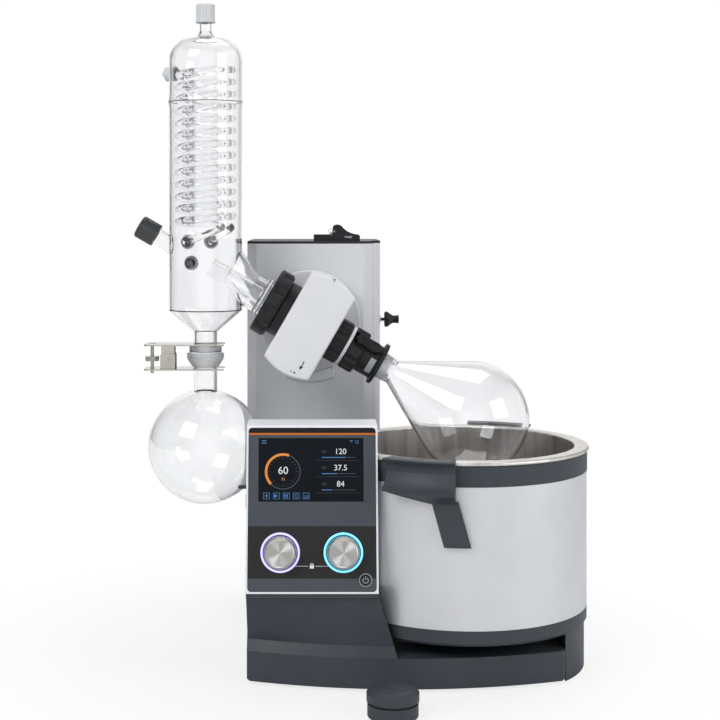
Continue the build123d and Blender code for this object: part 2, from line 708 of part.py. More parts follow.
def carriage_outline(inset, corner):
    """Plan of the carriage cover with its two chamfered front corners."""
    side = CARRIAGE_SIDE - inset
    face = CARRIAGE_FACE / 2 - inset * tan(radians(22.5))
    with BuildLine() as outline:
        Polyline(
            (-side, CARRIAGE_BACK + corner),
            (-side, CARRIAGE_FRONT + inset + CARRIAGE_CHAMFER_DEPTH - inset * tan(radians(22.5))),
            (-face, CARRIAGE_FRONT + inset),
            (face, CARRIAGE_FRONT + inset),
            (side, CARRIAGE_FRONT + inset + CARRIAGE_CHAMFER_DEPTH - inset * tan(radians(22.5))),
            (side, CARRIAGE_BACK + corner),
            close=True,
        )
    make_face(outline.edges())


def rim_point(radius, angle):
    """Point on a circle about the tilt axis, angle from +X."""
    return (radius * cos(radians(angle)), radius * sin(radians(angle)))


with BuildPart() as carriage_cover:
    with BuildSketch(level(CARRIAGE_BOTTOM)):
        carriage_outline(0, 0)
    extrude(amount=CARRIAGE_TOP - CARRIAGE_BOTTOM)
    fillet(carriage_cover.edges().filter_by(Axis.Z).group_by(Axis.Y)[0], radius=3)
    with BuildSketch(level(CARRIAGE_BOTTOM)):
        carriage_outline(CARRIAGE_WALL, 1)
    extrude(amount=CARRIAGE_TOP - CARRIAGE_BOTTOM, mode=Mode.SUBTRACT)
    with BuildSketch(TILT.offset(-CARRIAGE_FRONT)):
        Circle(CRESCENT_RADIUS)
        Circle(DISC_RADIUS + 1, mode=Mode.SUBTRACT)
        with BuildLine():
            Polyline(
                (0, 0),
                rim_point(2 * CRESCENT_RADIUS, CRESCENT_LEFT),
                rim_point(2 * CRESCENT_RADIUS, CRESCENT_RIGHT),
                close=True,
            )
        make_face(mode=Mode.INTERSECT)
    extrude(amount=CRESCENT_DEPTH, taper=20)
    disc(
        TILT.offset(-CARRIAGE_FRONT),
        TILT_SHAFT_RADIUS + CARRIAGE_SHAFT_PLAY,
        -CARRIAGE_WALL,
        Mode.SUBTRACT,
    )
finish(carriage_cover, "carriage_cover")

with BuildPart() as carriage_cap:
    with BuildSketch(level(CARRIAGE_TOP)):
        carriage_outline(0, 0)
    extrude(amount=CAP_THICKNESS)
    fillet(carriage_cap.edges().group_by(Axis.Z)[-1], radius=1.2)
finish(carriage_cap, "carriage_cap")

# Bearing block of the carriage, which runs on both guide rods
with BuildPart() as carriage_block:
    with BuildSketch(level(BLOCK_BOTTOM)):
        with Locations((0, (CARRIAGE_FRONT + CARRIAGE_WALL + ROD_Y + 12) / 2)):
            RectangleRounded(BLOCK_WIDTH, ROD_Y + 12 - CARRIAGE_FRONT - CARRIAGE_WALL, 5)
        with Locations((-ROD_X, ROD_Y), (ROD_X, ROD_Y)):
            Circle(ROD_RADIUS + RUNNING_GAP, mode=Mode.SUBTRACT)
        with Locations((0, ROD_Y)):
            Circle(ACTUATOR_TUBE_RADIUS + 1, mode=Mode.SUBTRACT)
    extrude(amount=BLOCK_TOP - BLOCK_BOTTOM)
    with BuildSketch(level(BLOCK_BOTTOM + 20)):
        for side in (-1, 1):
            with Locations((side * BLOCK_WIDTH / 2, ROD_Y + 12)):
                Rectangle(16, 24)
    extrude(amount=BLOCK_TOP - BLOCK_BOTTOM - 40, mode=Mode.SUBTRACT)
finish(carriage_block, "carriage_block")

# Bearing of the tilt shaft, with the lug that the actuator rod lifts
BEARING_RADIUS = TILT_SHAFT_RADIUS + 6.0
LUG_BOTTOM = TILT_HEIGHT - BEARING_RADIUS - 16.0
with BuildPart() as tilt_bearing:
    with BuildSketch(TILT.offset(-CARRIAGE_FRONT - CARRIAGE_WALL)):
        Circle(BEARING_RADIUS + 8)
    extrude(amount=-5)
    with BuildSketch(TILT.offset(-CARRIAGE_FRONT - CARRIAGE_WALL)):
        Circle(BEARING_RADIUS)
    extrude(amount=CARRIAGE_FRONT + CARRIAGE_WALL - TILT_SHAFT_END - 6)
    with BuildSketch(level(LUG_BOTTOM)):
        with Locations((0, ROD_Y)):
            RectangleRounded(20, 20, 3)
    extrude(amount=TILT_HEIGHT - LUG_BOTTOM - TILT_SHAFT_RADIUS - 2)
    with BuildSketch(TILT.offset(-CARRIAGE_FRONT - CARRIAGE_WALL)):
        Circle(TILT_SHAFT_RADIUS + RUNNING_GAP)
    extrude(amount=-60, mode=Mode.SUBTRACT)
finish(tilt_bearing, "tilt_bearing")

with BuildPart() as actuator_rod:
    disc(Plane(origin=(0, ROD_Y, ACTUATOR_ROD_BOTTOM)), ACTUATOR_ROD_RADIUS, LUG_BOTTOM - ACTUATOR_ROD_BOTTOM)
    chamfer(actuator_rod.edges().group_by(Axis.Z)[0], length=0.6)
finish(actuator_rod, "actuator_rod")

# Tilt release lever on top of the carriage, a thumb slide with a humped grip
LEVER_LEFT = 4.5
LEVER_RIGHT = 60.6
LEVER_Y = 89.0
LEVER_DEPTH = 10.0
LEVER_BASE = CARRIAGE_TOP + CAP_THICKNESS + 0.05
LEVER_BAR = 8.0
LEVER_HUMP = 20.0
with BuildPart() as release_lever:
    with BuildSketch(Plane.XZ.offset(-LEVER_Y - LEVER_DEPTH / 2)):
        with BuildLine():
            bar = Polyline(
                (LEVER_RIGHT, LEVER_BASE),
                (LEVER_LEFT, LEVER_BASE),
                (LEVER_LEFT, LEVER_BASE + LEVER_BAR),
                (LEVER_LEFT + 22, LEVER_BASE + LEVER_BAR),
                (LEVER_LEFT + 23.5, LEVER_BASE + LEVER_HUMP - 2),
            )
            crest = ThreePointArc(
                bar @ 1,
                (LEVER_LEFT + 29, LEVER_BASE + LEVER_HUMP),
                (LEVER_LEFT + 35, LEVER_BASE + LEVER_HUMP - 3),
            )
            slope = Spline(
                crest @ 1,
                (LEVER_RIGHT - 9, LEVER_BASE + LEVER_BAR + 1.2),
                (LEVER_RIGHT - 2, LEVER_BASE + LEVER_BAR),
                tangents=[crest % 1, (1, 0)],
            )
            Polyline(slope @ 1, (LEVER_RIGHT, LEVER_BASE + LEVER_BAR - 2), bar @ 0)
        make_face()
    extrude(amount=LEVER_DEPTH)
    fillet(release_lever.edges().filter_by(GeomType.CIRCLE), radius=1)
finish(release_lever, "release_lever")

# Thumb knob in the right side of the column, turned out with a fluted grip
with BuildPart() as thumb_knob:
    turn(
        THUMB,
        THUMB_AXIS,
        [
            (COLUMN_RIGHT - COLUMN_WALL - 0.3, 0),
            (COLUMN_RIGHT - COLUMN_WALL - 0.3, THUMB_STEM),
            (COLUMN_RIGHT + 6.0, THUMB_STEM),
            (COLUMN_RIGHT + 6.4, 8.6),
            (COLUMN_RIGHT + 8.5, 10.0),
            (COLUMN_RIGHT + 11.0, 9.0),
            (COLUMN_RIGHT + 14.5, 6.2),
            (COLUMN_RIGHT + 17.5, 4.6),
            (COLUMN_RIGHT + 23.5, 5.2),
            (COLUMN_RIGHT + 24.4, 4.4),
            (COLUMN_RIGHT + 24.4, 0),
        ],
    )
    with BuildSketch(Plane.YZ.offset(COLUMN_RIGHT + 7)):
        with Locations((THUMB_Y, THUMB_Z)):
            with PolarLocations(10.8, 8):
                Circle(2.2)
    extrude(amount=6, mode=Mode.SUBTRACT)
finish(thumb_knob, "thumb_knob")

# Swivel disc of the drive head, in one piece with its tilt shaft
TILT_Y_AXIS = Axis(TILT_POINT, (0, 1, 0))
TILT_SECTION = Plane(origin=TILT_POINT, x_dir=(0, 1, 0), z_dir=(1, 0, 0))
DISC_BACK = CARRIAGE_FRONT - SLIDING_GAP
with BuildPart() as swivel_disc:
    turn(
        TILT_SECTION,
        TILT_Y_AXIS,
        [
            (DISC_FRONT, 0),
            (DISC_FRONT, DISC_RADIUS - 1),
            (DISC_FRONT + 1, DISC_RADIUS),
            (DISC_BACK, DISC_RADIUS),
            (DISC_BACK, TILT_SHAFT_RADIUS),
            (TILT_SHAFT_END - 1, TILT_SHAFT_RADIUS),
            (TILT_SHAFT_END, TILT_SHAFT_RADIUS - 1),
            (TILT_SHAFT_END, 0),
        ],
    )
finish(swivel_disc, "swivel_disc")

# Drive housing: a round body cut by two flat ends, bored for the hub, the motor and the belt
MOTOR_OFFSET = 33.5
MOTOR_RADIUS = 12.5
MOTOR_LEFT = -22.0
MOTOR_RIGHT = 7.0
HUB_RADIUS = 15.95
HUB_PULLEY_RADIUS = 18.2
HUB_PULLEY_LEFT = 11.0
HUB_PULLEY_RIGHT = 22.0
MOTOR_PULLEY_RADIUS = 8.0
BELT_THICKNESS = 1.6
BELT_CAVITY_PLAY = 1.0
HOUSING_MIDDLE = (HOUSING_LEFT + HOUSING_RIGHT) / 2
with BuildPart() as drive_housing:
    with BuildSketch(TILT.offset(-HOUSING_FRONT)):
        Circle(DISC_RADIUS)
        with Locations(
            Location(
                (HOUSING_MIDDLE * cos(SLOPE), -HOUSING_MIDDLE * sin(SLOPE), 0),
                (0, 0, -DRIVE_SLOPE),
            )
        ):
            Rectangle(HOUSING_RIGHT - HOUSING_LEFT, 4 * DISC_RADIUS, mode=Mode.INTERSECT)
    extrude(amount=HOUSING_FRONT - DISC_FRONT)
    fillet(drive_housing.faces().sort_by(Axis.Y)[0].edges(), radius=2.5)
    disc(across(HOUSING_LEFT), HUB_BORE, HOUSING_RIGHT - HOUSING_LEFT, Mode.SUBTRACT)
    with BuildSketch(across(MOTOR_LEFT - SLIDING_GAP)):
        with Locations((MOTOR_OFFSET, 0)):
            Circle(MOTOR_RADIUS + RUNNING_GAP)
    extrude(amount=HUB_PULLEY_LEFT - MOTOR_LEFT, mode=Mode.SUBTRACT)
    with BuildSketch(across(HUB_PULLEY_LEFT - BELT_CAVITY_PLAY)):
        Circle(HUB_PULLEY_RADIUS + BELT_THICKNESS + BELT_CAVITY_PLAY)
        with Locations((MOTOR_OFFSET, 0)):
            Circle(MOTOR_PULLEY_RADIUS + BELT_THICKNESS + BELT_CAVITY_PLAY)
        make_hull()
    extrude(amount=HUB_PULLEY_RIGHT - HUB_PULLEY_LEFT + 2 * BELT_CAVITY_PLAY, mode=Mode.SUBTRACT)
finish(drive_housing, "drive_housing")

with BuildPart() as drive_motor:
    with BuildSketch(across(MOTOR_LEFT)):
        with Locations((MOTOR_OFFSET, 0)):
            Circle(MOTOR_RADIUS)
    extrude(amount=MOTOR_RIGHT - MOTOR_LEFT)
    chamfer(drive_motor.edges(), length=0.8)
    with BuildSketch(across(MOTOR_RIGHT - 6)):
        with Locations((MOTOR_OFFSET, 0)):
            Circle(2.5 + RUNNING_GAP)
    extrude(amount=6, mode=Mode.SUBTRACT)
finish(drive_motor, "drive_motor")

with BuildPart() as motor_pulley:
    with BuildSketch(across(MOTOR_RIGHT - 5.7)):
        with Locations((MOTOR_OFFSET, 0)):
            Circle(2.5)
    extrude(amount=5.7 + HUB_PULLEY_LEFT - MOTOR_RIGHT)
    with BuildSketch(across(HUB_PULLEY_LEFT)):
        with Locations((MOTOR_OFFSET, 0)):
            Circle(MOTOR_PULLEY_RADIUS)
            with PolarLocations(MOTOR_PULLEY_RADIUS + 0.2, 18):
                Circle(0.6, mode=Mode.SUBTRACT)
    extrude(amount=HUB_PULLEY_RIGHT - HUB_PULLEY_LEFT)
finish(motor_pulley, "motor_pulley")

with BuildPart() as drive_belt:
    with BuildSketch(across(HUB_PULLEY_LEFT + 1)):
        Circle(HUB_PULLEY_RADIUS + RUNNING_GAP + BELT_THICKNESS)
        with Locations((MOTOR_OFFSET, 0)):
            Circle(MOTOR_PULLEY_RADIUS + RUNNING_GAP + BELT_THICKNESS)
        make_hull()
        offset(amount=-BELT_THICKNESS, mode=Mode.SUBTRACT)
    extrude(amount=HUB_PULLEY_RIGHT - HUB_PULLEY_LEFT - 2)
finish(drive_belt, "drive_belt")

# Two ball bearings that carry the hub in the housing
BEARING_WIDTH = 8.0
BEARING_LEFT_START = -24.0
BEARING_RIGHT_START = 0.0
with BuildPart() as hub_bearings:
    for start in (BEARING_LEFT_START, BEARING_RIGHT_START):
        turn(
            DRIVE,
            DRIVE_AXIS,
            [
                (start, HUB_RADIUS + RUNNING_GAP),
                (start, HUB_RADIUS + 1.1),
                (start + 0.6, HUB_RADIUS + 1.1),
                (start + 0.6, HUB_BORE - 1.1),
                (start, HUB_BORE - 1.1),
                (start, HUB_BORE - 0.02),
                (start + BEARING_WIDTH, HUB_BORE - 0.02),
                (start + BEARING_WIDTH, HUB_RADIUS + RUNNING_GAP),
            ],
        )
finish(hub_bearings, "hub_bearings")

# Collar on the left end of the housing, with the spigot that the union nut grips
COLLAR_LEFT = -39.6
COLLAR_RADIUS = 32.5
SPIGOT_END = -52.0
SPIGOT_RADIUS = 23.5
SEAL_RADIUS = 20.0
SEAL_LEFT = -45.0
with BuildPart() as drive_collar:
    turn(
        DRIVE,
        DRIVE_AXIS,
        [
            (HOUSING_LEFT, SEAL_RADIUS + RUNNING_GAP),
            (HOUSING_LEFT, COLLAR_RADIUS),
            (COLLAR_LEFT + 1, COLLAR_RADIUS),
            (COLLAR_LEFT, COLLAR_RADIUS - 1),
            (COLLAR_LEFT, SPIGOT_RADIUS),
            (SPIGOT_END, SPIGOT_RADIUS),
            (SPIGOT_END, VAPOUR_TUBE_RADIUS + 2),
            (SEAL_LEFT, VAPOUR_TUBE_RADIUS + 2),
            (SEAL_LEFT, SEAL_RADIUS + RUNNING_GAP),
        ],
    )
finish(drive_collar, "drive_collar")

# Vacuum seal around the turning vapour tube, with a lip at its left end
with BuildPart() as vacuum_seal:
    turn(
        DRIVE,
        DRIVE_AXIS,
        [
            (HOUSING_LEFT - 0.2, VAPOUR_TUBE_RADIUS + 3),
            (HOUSING_LEFT - 0.2, SEAL_RADIUS),
            (SEAL_LEFT, SEAL_RADIUS),
            (SEAL_LEFT, VAPOUR_TUBE_RADIUS + RUNNING_GAP),
            (SEAL_LEFT + 3, VAPOUR_TUBE_RADIUS + RUNNING_GAP),
            (SEAL_LEFT + 7, VAPOUR_TUBE_RADIUS + 3),
        ],
    )
finish(vacuum_seal, "vacuum_seal")

# Union nut that pulls the glass flange of the condenser against the spigot
UNION_LEFT = -58.1
UNION_RIGHT = COLLAR_LEFT - SLIDING_GAP
UNION_RADIUS = 39.5
UNION_LIP = 2.6
UNION_LOBES = 10
GLASS_FLANGE_RADIUS = SPIGOT_RADIUS - 0.3
GLASS_FLANGE_LEFT = UNION_LEFT + UNION_LIP + 0.3
with BuildPart() as union_nut:
    turn(
        DRIVE,
        DRIVE_AXIS,
        [
            (UNION_LEFT, ARM_RADIUS + SLIDING_GAP),
            (UNION_LEFT, UNION_RADIUS - 2.5),
            (UNION_LEFT + 1.5, UNION_RADIUS),
            (UNION_RIGHT - 3, UNION_RADIUS),
            (UNION_RIGHT, UNION_RADIUS - 3),
            (UNION_RIGHT, SPIGOT_RADIUS + RUNNING_GAP),
            (UNION_LEFT + UNION_LIP, SPIGOT_RADIUS + RUNNING_GAP),
            (UNION_LEFT + UNION_LIP, ARM_RADIUS + SLIDING_GAP),
        ],
    )
    with BuildSketch(across(UNION_LEFT + 4.5)):
        with PolarLocations(UNION_RADIUS + 9.5, UNION_LOBES, start_angle=9):
            Circle(12)
    extrude(amount=UNION_RIGHT - UNION_LEFT, mode=Mode.SUBTRACT)
finish(union_nut, "union_nut")

# Condenser jacket: dome, cone, ball joint flange, arm to the drive and ports, all one glass
TOP_NECK_GLASS = TOP_NECK_END + 8.0
DOME_SHOULDER = 7.0
SEAM_SPREAD = 7.6
FEED_ROOT = -176.0
HOSE_PORT_RADIUS = 6.0
HOSE_PORT_END = 50.0
HOSE_PORTS = [
    (CONDENSER_X - 26.1, COIL_BOTTOM - 17.2),
    (CONDENSER_X + 3.2, COIL_BOTTOM - 16.6),
    (CONDENSER_X - 21.7, COIL_BOTTOM - 42.3),
]
TOP_PORT_HEIGHT = COIL_TOP - 2.1
TOP_PORT_ANGLE = 150.0
TOP_PORT_REACH = 50.0
TOP_PORT = Plane(
    origin=(CONDENSER_X, 0, TOP_PORT_HEIGHT),
    x_dir=(0, 0, 1),
    z_dir=(cos(radians(TOP_PORT_ANGLE)), sin(radians(TOP_PORT_ANGLE)), 0),
)


def jacket_section(wall):
    """Half section of the jacket, drawn smaller by the wall for its hollow."""
    with BuildSketch(CONDENSER) as section:
        with BuildLine():
            lower = Polyline(
                (0, BALL_FLANGE_BOTTOM),
                (NECK_RADIUS - wall, BALL_FLANGE_BOTTOM),
                (NECK_RADIUS - wall, CONE_BOTTOM + wall / 2),
                (JACKET_RADIUS - wall, JACKET_BOTTOM + wall / 2),
                (JACKET_RADIUS - wall, SEAM_HEIGHT - SEAM_SPREAD),
                (SEAM_RADIUS - wall, SEAM_HEIGHT),
                (JACKET_RADIUS - wall, SEAM_HEIGHT + SEAM_SPREAD),
                (JACKET_RADIUS - wall, JACKET_TOP),
            )
            dome = ThreePointArc(
                lower @ 1,
                (JACKET_RADIUS - wall - DOME_SHOULDER, JACKET_TOP + 17 - wall / 2),
                (TOP_NECK_RADIUS + 7.5, DOME_TOP + 1.5 - wall),
            )
            Polyline(
                dome @ 1,
                (TOP_NECK_RADIUS + 3 - wall / 2, DOME_TOP + 4 - wall),
                (TOP_NECK_RADIUS - wall / 2, DOME_TOP + 9 - wall),
                (TOP_NECK_RADIUS - wall / 2, TOP_NECK_GLASS),
                (0, TOP_NECK_GLASS),
                (0, BALL_FLANGE_BOTTOM),
            )
        make_face()
    return section.sketch


def glass_side_tubes(wall):
    """Arm, feed port and hose ports, outer walls or their bores."""
    mode = Mode.ADD if wall == 0 else Mode.SUBTRACT
    turn(
        DRIVE,
        DRIVE_AXIS,
        [
            (ARM_ROOT, 0),
            (ARM_ROOT, ARM_ROOT_RADIUS - wall),
            (ARM_FLANGE_ROOT, ARM_RADIUS - wall),
            (SPIGOT_END - SLIDING_GAP, ARM_RADIUS - wall),
            (SPIGOT_END - SLIDING_GAP, 0),
        ],
        mode,
    )
    turn(
        DRIVE,
        DRIVE_AXIS,
        [
            (FEED_ROOT, 0),
            (FEED_ROOT, PORT_RADIUS + 2.5 - wall),
            (FEED_ROOT - 14, PORT_RADIUS - wall),
            (PORT_END, PORT_RADIUS - wall),
            (PORT_END, 0),
        ],
        mode,
    )
    for port_x, port_z in HOSE_PORTS:
        disc(
            Plane(origin=(port_x, JACKET_RADIUS / 2, port_z), x_dir=(1, 0, 0), z_dir=(0, 1, 0)),
            HOSE_PORT_RADIUS - wall,
            HOSE_PORT_END - JACKET_RADIUS / 2,
            mode,
        )
    disc(
        TOP_PORT.offset(JACKET_RADIUS - 4),
        HOSE_PORT_RADIUS - wall,
        TOP_PORT_REACH - JACKET_RADIUS + 4,
        mode,
    )


with BuildPart() as condenser:
    revolve(jacket_section(0), axis=CONDENSER_AXIS)
    glass_side_tubes(0)
    turn(
        DRIVE,
        DRIVE_AXIS,
        [
            (GLASS_FLANGE_LEFT, ARM_RADIUS - 1),
            (GLASS_FLANGE_LEFT, GLASS_FLANGE_RADIUS),
            (SPIGOT_END - SLIDING_GAP, GLASS_FLANGE_RADIUS),
            (SPIGOT_END - SLIDING_GAP, ARM_RADIUS - 1),
        ],
    )
    turn(
        CONDENSER,
        CONDENSER_AXIS,
        [
            (NECK_RADIUS - 1, BALL_FLANGE_BOTTOM),
            (BALL_FLANGE_RADIUS, BALL_FLANGE_BOTTOM),
            (BALL_FLANGE_RADIUS, BALL_FLANGE_TOP - 1),
            (BALL_FLANGE_RADIUS - 1, BALL_FLANGE_TOP),
            (NECK_RADIUS - 1, BALL_FLANGE_TOP),
        ],
    )
    revolve(jacket_section(GLASS_WALL), axis=CONDENSER_AXIS, mode=Mode.SUBTRACT)
    glass_side_tubes(GLASS_WALL)
finish(condenser, "condenser")

# Double cooling coil: two glass helices, linked at the top and led to two hose ports at the bottom
COIL_PLAY = 0.02
COIL_LINK_RADIUS = COIL_TUBE_RADIUS - 0.4


def coil_lead(coil_radius, port):
    """Tube from the lower end of a helix to the inner wall of the jacket at a hose port."""
    start = Vector(CONDENSER_X + coil_radius, 0, COIL_BOTTOM)
    target = Vector(port[0], JACKET_RADIUS, port[1])
    with BuildSketch(Plane(origin=start, z_dir=target - start)) as section:
        Circle(COIL_TUBE_RADIUS)
    extrude(section.sketch, amount=(target - start).length)
    with Locations(start):
        Sphere(COIL_TUBE_RADIUS)


with BuildPart() as coil_leads:
    coil_lead(OUTER_COIL_RADIUS, HOSE_PORTS[1])
    coil_lead(INNER_COIL_RADIUS, HOSE_PORTS[0])
    with BuildSketch(level(COIL_BOTTOM - JACKET_RADIUS)):
        with Locations((CONDENSER_X, 0)):
            Circle(JACKET_RADIUS - GLASS_WALL - COIL_PLAY)
    extrude(amount=2 * JACKET_RADIUS, mode=Mode.INTERSECT)

with BuildPart() as cooling_coil:
    for coil_radius in (OUTER_COIL_RADIUS, INNER_COIL_RADIUS):
        with BuildLine() as path:
            Helix(COIL_PITCH, COIL_TOP - COIL_BOTTOM, coil_radius, center=(CONDENSER_X, 0, COIL_BOTTOM))
        with BuildSketch(Plane(origin=path.line @ 0, z_dir=path.line % 0)):
            Circle(COIL_TUBE_RADIUS)
        sweep(path=path.line, is_frenet=True)
    with BuildSketch(Plane.YZ.offset(CONDENSER_X + INNER_COIL_RADIUS)):
        with Locations((0, COIL_TOP)):
            Circle(COIL_LINK_RADIUS)
    extrude(amount=OUTER_COIL_RADIUS - INNER_COIL_RADIUS)
    add(coil_leads.part)
finish(cooling_coil, "cooling_coil")

# Grey screw connectors on the hose ports
CONNECTOR_RADIUS = 8.7
CONNECTOR_GRIP = 9.0
CONNECTOR_NOZZLE = 3.5
HOSE_PORT_PLANES = [
    Plane(origin=(port_x, HOSE_PORT_END, port_z), x_dir=(1, 0, 0), z_dir=(0, 1, 0))
    for port_x, port_z in HOSE_PORTS
] + [TOP_PORT.offset(TOP_PORT_REACH)]
with BuildPart() as hose_connectors:
    for port in HOSE_PORT_PLANES:
        disc(port.offset(-5), CONNECTOR_RADIUS, CONNECTOR_GRIP)
        disc(port.offset(-5), HOSE_PORT_RADIUS + RUNNING_GAP, 5, Mode.SUBTRACT)
        disc(port.offset(CONNECTOR_GRIP - 5), CONNECTOR_NOZZLE, 5)
finish(hose_connectors, "hose_connectors")

# Screw caps on the feed port and on the top neck, with ribbed grips
CAP_RIBS = 14
with BuildPart() as feed_cap:
    turn(
        DRIVE,
        DRIVE_AXIS,
        [
            (FEED_CAP_START, PORT_RADIUS + RUNNING_GAP),
            (FEED_CAP_START, FEED_CAP_RADIUS),
            (FEED_CAP_END + 1.5, FEED_CAP_RADIUS),
            (FEED_CAP_END, FEED_CAP_RADIUS - 1.5),
            (FEED_CAP_END, 5),
            (FEED_CAP_END + 2, 4),
            (FEED_CAP_END + 2, 0),
            (PORT_END - SLIDING_GAP, 0),
            (PORT_END - SLIDING_GAP, PORT_RADIUS + RUNNING_GAP),
        ],
    )
    with BuildSketch(across(FEED_CAP_START - 2)):
        with PolarLocations(FEED_CAP_RADIUS + 1, CAP_RIBS):
            Circle(1.5)
    extrude(amount=FEED_CAP_END - FEED_CAP_START + 5, mode=Mode.SUBTRACT)
finish(feed_cap, "feed_cap")

TOP_CAP_RADIUS = 10.8
with BuildPart() as top_cap:
    turn(
        CONDENSER,
        CONDENSER_AXIS,
        [
            (TOP_NECK_RADIUS + RUNNING_GAP, TOP_NECK_END),
            (TOP_CAP_RADIUS + 0.6, TOP_NECK_END),
            (TOP_CAP_RADIUS + 0.6, TOP_NECK_END + 2.5),
            (TOP_CAP_RADIUS, TOP_NECK_END + 3),
            (TOP_CAP_RADIUS, TOP_CAP_END - 1.5),
            (TOP_CAP_RADIUS - 1.5, TOP_CAP_END),
            (4, TOP_CAP_END),
            (4, TOP_CAP_END - 8),
            (0, TOP_CAP_END - 8),
            (0, TOP_NECK_GLASS + SLIDING_GAP),
            (TOP_NECK_RADIUS + RUNNING_GAP, TOP_NECK_GLASS + SLIDING_GAP),
        ],
    )
    with BuildSketch(level(TOP_NECK_END + 4)):
        with Locations((CONDENSER_X, 0)):
            with PolarLocations(TOP_CAP_RADIUS + 0.9, CAP_RIBS):
                Circle(1.3)
    extrude(amount=TOP_CAP_END - TOP_NECK_END - 7, mode=Mode.SUBTRACT)
finish(top_cap, "top_cap")

# Ball joint ring between the condenser flange and the cup of the receiving flask
CUP_BORE = NECK_RADIUS - GLASS_WALL
with BuildPart() as joint_ring:
    turn(
        CONDENSER,
        CONDENSER_AXIS,
        [
            (CUP_BORE + 1, JOINT_RING_BOTTOM),
            (BALL_FLANGE_RADIUS, JOINT_RING_BOTTOM),
            (BALL_FLANGE_RADIUS, BALL_FLANGE_BOTTOM),
            (CUP_BORE + 1, BALL_FLANGE_BOTTOM),
        ],
    )
finish(joint_ring, "joint_ring")


def receiver_section(wall):
    """Half section of the receiving flask, drawn smaller by the wall for its hollow."""
    radius = FLASK_RADIUS - wall
    neck = NECK_RADIUS - wall
    throat = RECEIVER_HEIGHT + sqrt(radius**2 - neck**2)
    cup = CUP_RADIUS - 1.5 * wall
    with BuildSketch(CONDENSER) as section:
        with BuildLine():
            bulb = ThreePointArc(
                (0, RECEIVER_HEIGHT - radius),
                (radius, RECEIVER_HEIGHT),
                (neck, throat),
            )
            Polyline(
                bulb @ 1,
                (neck, CUP_NECK_TOP - 2.4 + wall),
                (neck + 2.6, CUP_NECK_TOP + wall),
                (cup, CUP_BOTTOM + wall),
                (cup, JOINT_RING_BOTTOM),
                (0, JOINT_RING_BOTTOM),
                (0, RECEIVER_HEIGHT - radius),
            )
        make_face()
    return section.sketch


with BuildPart() as receiving_flask:
    revolve(receiver_section(0), axis=CONDENSER_AXIS)
    revolve(receiver_section(GLASS_WALL), axis=CONDENSER_AXIS, mode=Mode.SUBTRACT)
finish(receiving_flask, "receiving_flask")

# Fork clamp of the ball joint: a lower fork with cheeks, an upper fork hinged on it and a screw
CLAMP_SHEET = 1.5
CLAMP_LEFT = CONDENSER_X - 69.9
CLAMP_RIGHT = CONDENSER_X + 22.1
CLAMP_HALF_WIDTH = 18.0
CLAMP_LOWER_TOP = CUP_NECK_TOP - 2.4
CLAMP_UPPER_BOTTOM = BALL_FLANGE_TOP + 0.2
CLAMP_PIN_X = CONDENSER_X - 42.8
CLAMP_PIN_Z = CUP_BOTTOM - 0.2
CLAMP_PIN_RADIUS = 1.5
CLAMP_CHEEK_Y = 11.0
CLAMP_SCREW_X = CONDENSER_X - 61.6
CLAMP_SCREW_RADIUS = 2.0
CLAMP_SWING_PLAY = 2.9
CLAMP_WHEEL_RADIUS = 7.9
CLAMP_WHEEL_BOTTOM = CLAMP_PIN_Z - 2.9
CLAMP_WHEEL_TOP = CLAMP_WHEEL_BOTTOM + 5.4
FORK_PLAY = 0.6


def fork_plate(screw_hole):
    """Plan of a fork: a slot for the glass neck, rounded prongs and a hole for the screw."""
    with Locations(((CLAMP_LEFT + CLAMP_RIGHT) / 2, 0)):
        RectangleRounded(CLAMP_RIGHT - CLAMP_LEFT, 2 * CLAMP_HALF_WIDTH, 6)
    with Locations((CONDENSER_X, 0)):
        Circle(NECK_RADIUS + FORK_PLAY, mode=Mode.SUBTRACT)
    with Locations(((CONDENSER_X + CLAMP_RIGHT) / 2 + 2, 0)):
        Rectangle(CLAMP_RIGHT - CONDENSER_X + 4, 2 * (NECK_RADIUS + FORK_PLAY), mode=Mode.SUBTRACT)
    with Locations((CLAMP_SCREW_X, 0)):
        Circle(screw_hole, mode=Mode.SUBTRACT)


def clamp_cheek(y, bottom, top, width, bore):
    """One upright cheek of the clamp, bored for the pin where it turns on it."""
    with BuildSketch(Plane.XZ.offset(-y)) as cheek:
        with Locations((CLAMP_PIN_X, (bottom + top) / 2)):
            RectangleRounded(width, top - bottom, 2)
        if bore:
            with Locations((CLAMP_PIN_X, CLAMP_PIN_Z)):
                Circle(bore, mode=Mode.SUBTRACT)
    extrude(cheek.sketch, amount=CLAMP_SHEET)


with BuildPart() as clamp_lower:
    with BuildSketch(level(CLAMP_LOWER_TOP)):
        fork_plate(CLAMP_SCREW_RADIUS + RUNNING_GAP)
    extrude(amount=-CLAMP_SHEET)
    for y in (-CLAMP_CHEEK_Y + CLAMP_SHEET, CLAMP_CHEEK_Y):
        clamp_cheek(y, CLAMP_LOWER_TOP - CLAMP_SHEET, CLAMP_PIN_Z + 6, 17, 0)
    with BuildSketch(Plane.XZ.offset(-CLAMP_CHEEK_Y - 2)):
        with Locations((CLAMP_PIN_X, CLAMP_PIN_Z)):
            Circle(CLAMP_PIN_RADIUS)
    extrude(amount=2 * CLAMP_CHEEK_Y + 4)
finish(clamp_lower, "clamp_lower")

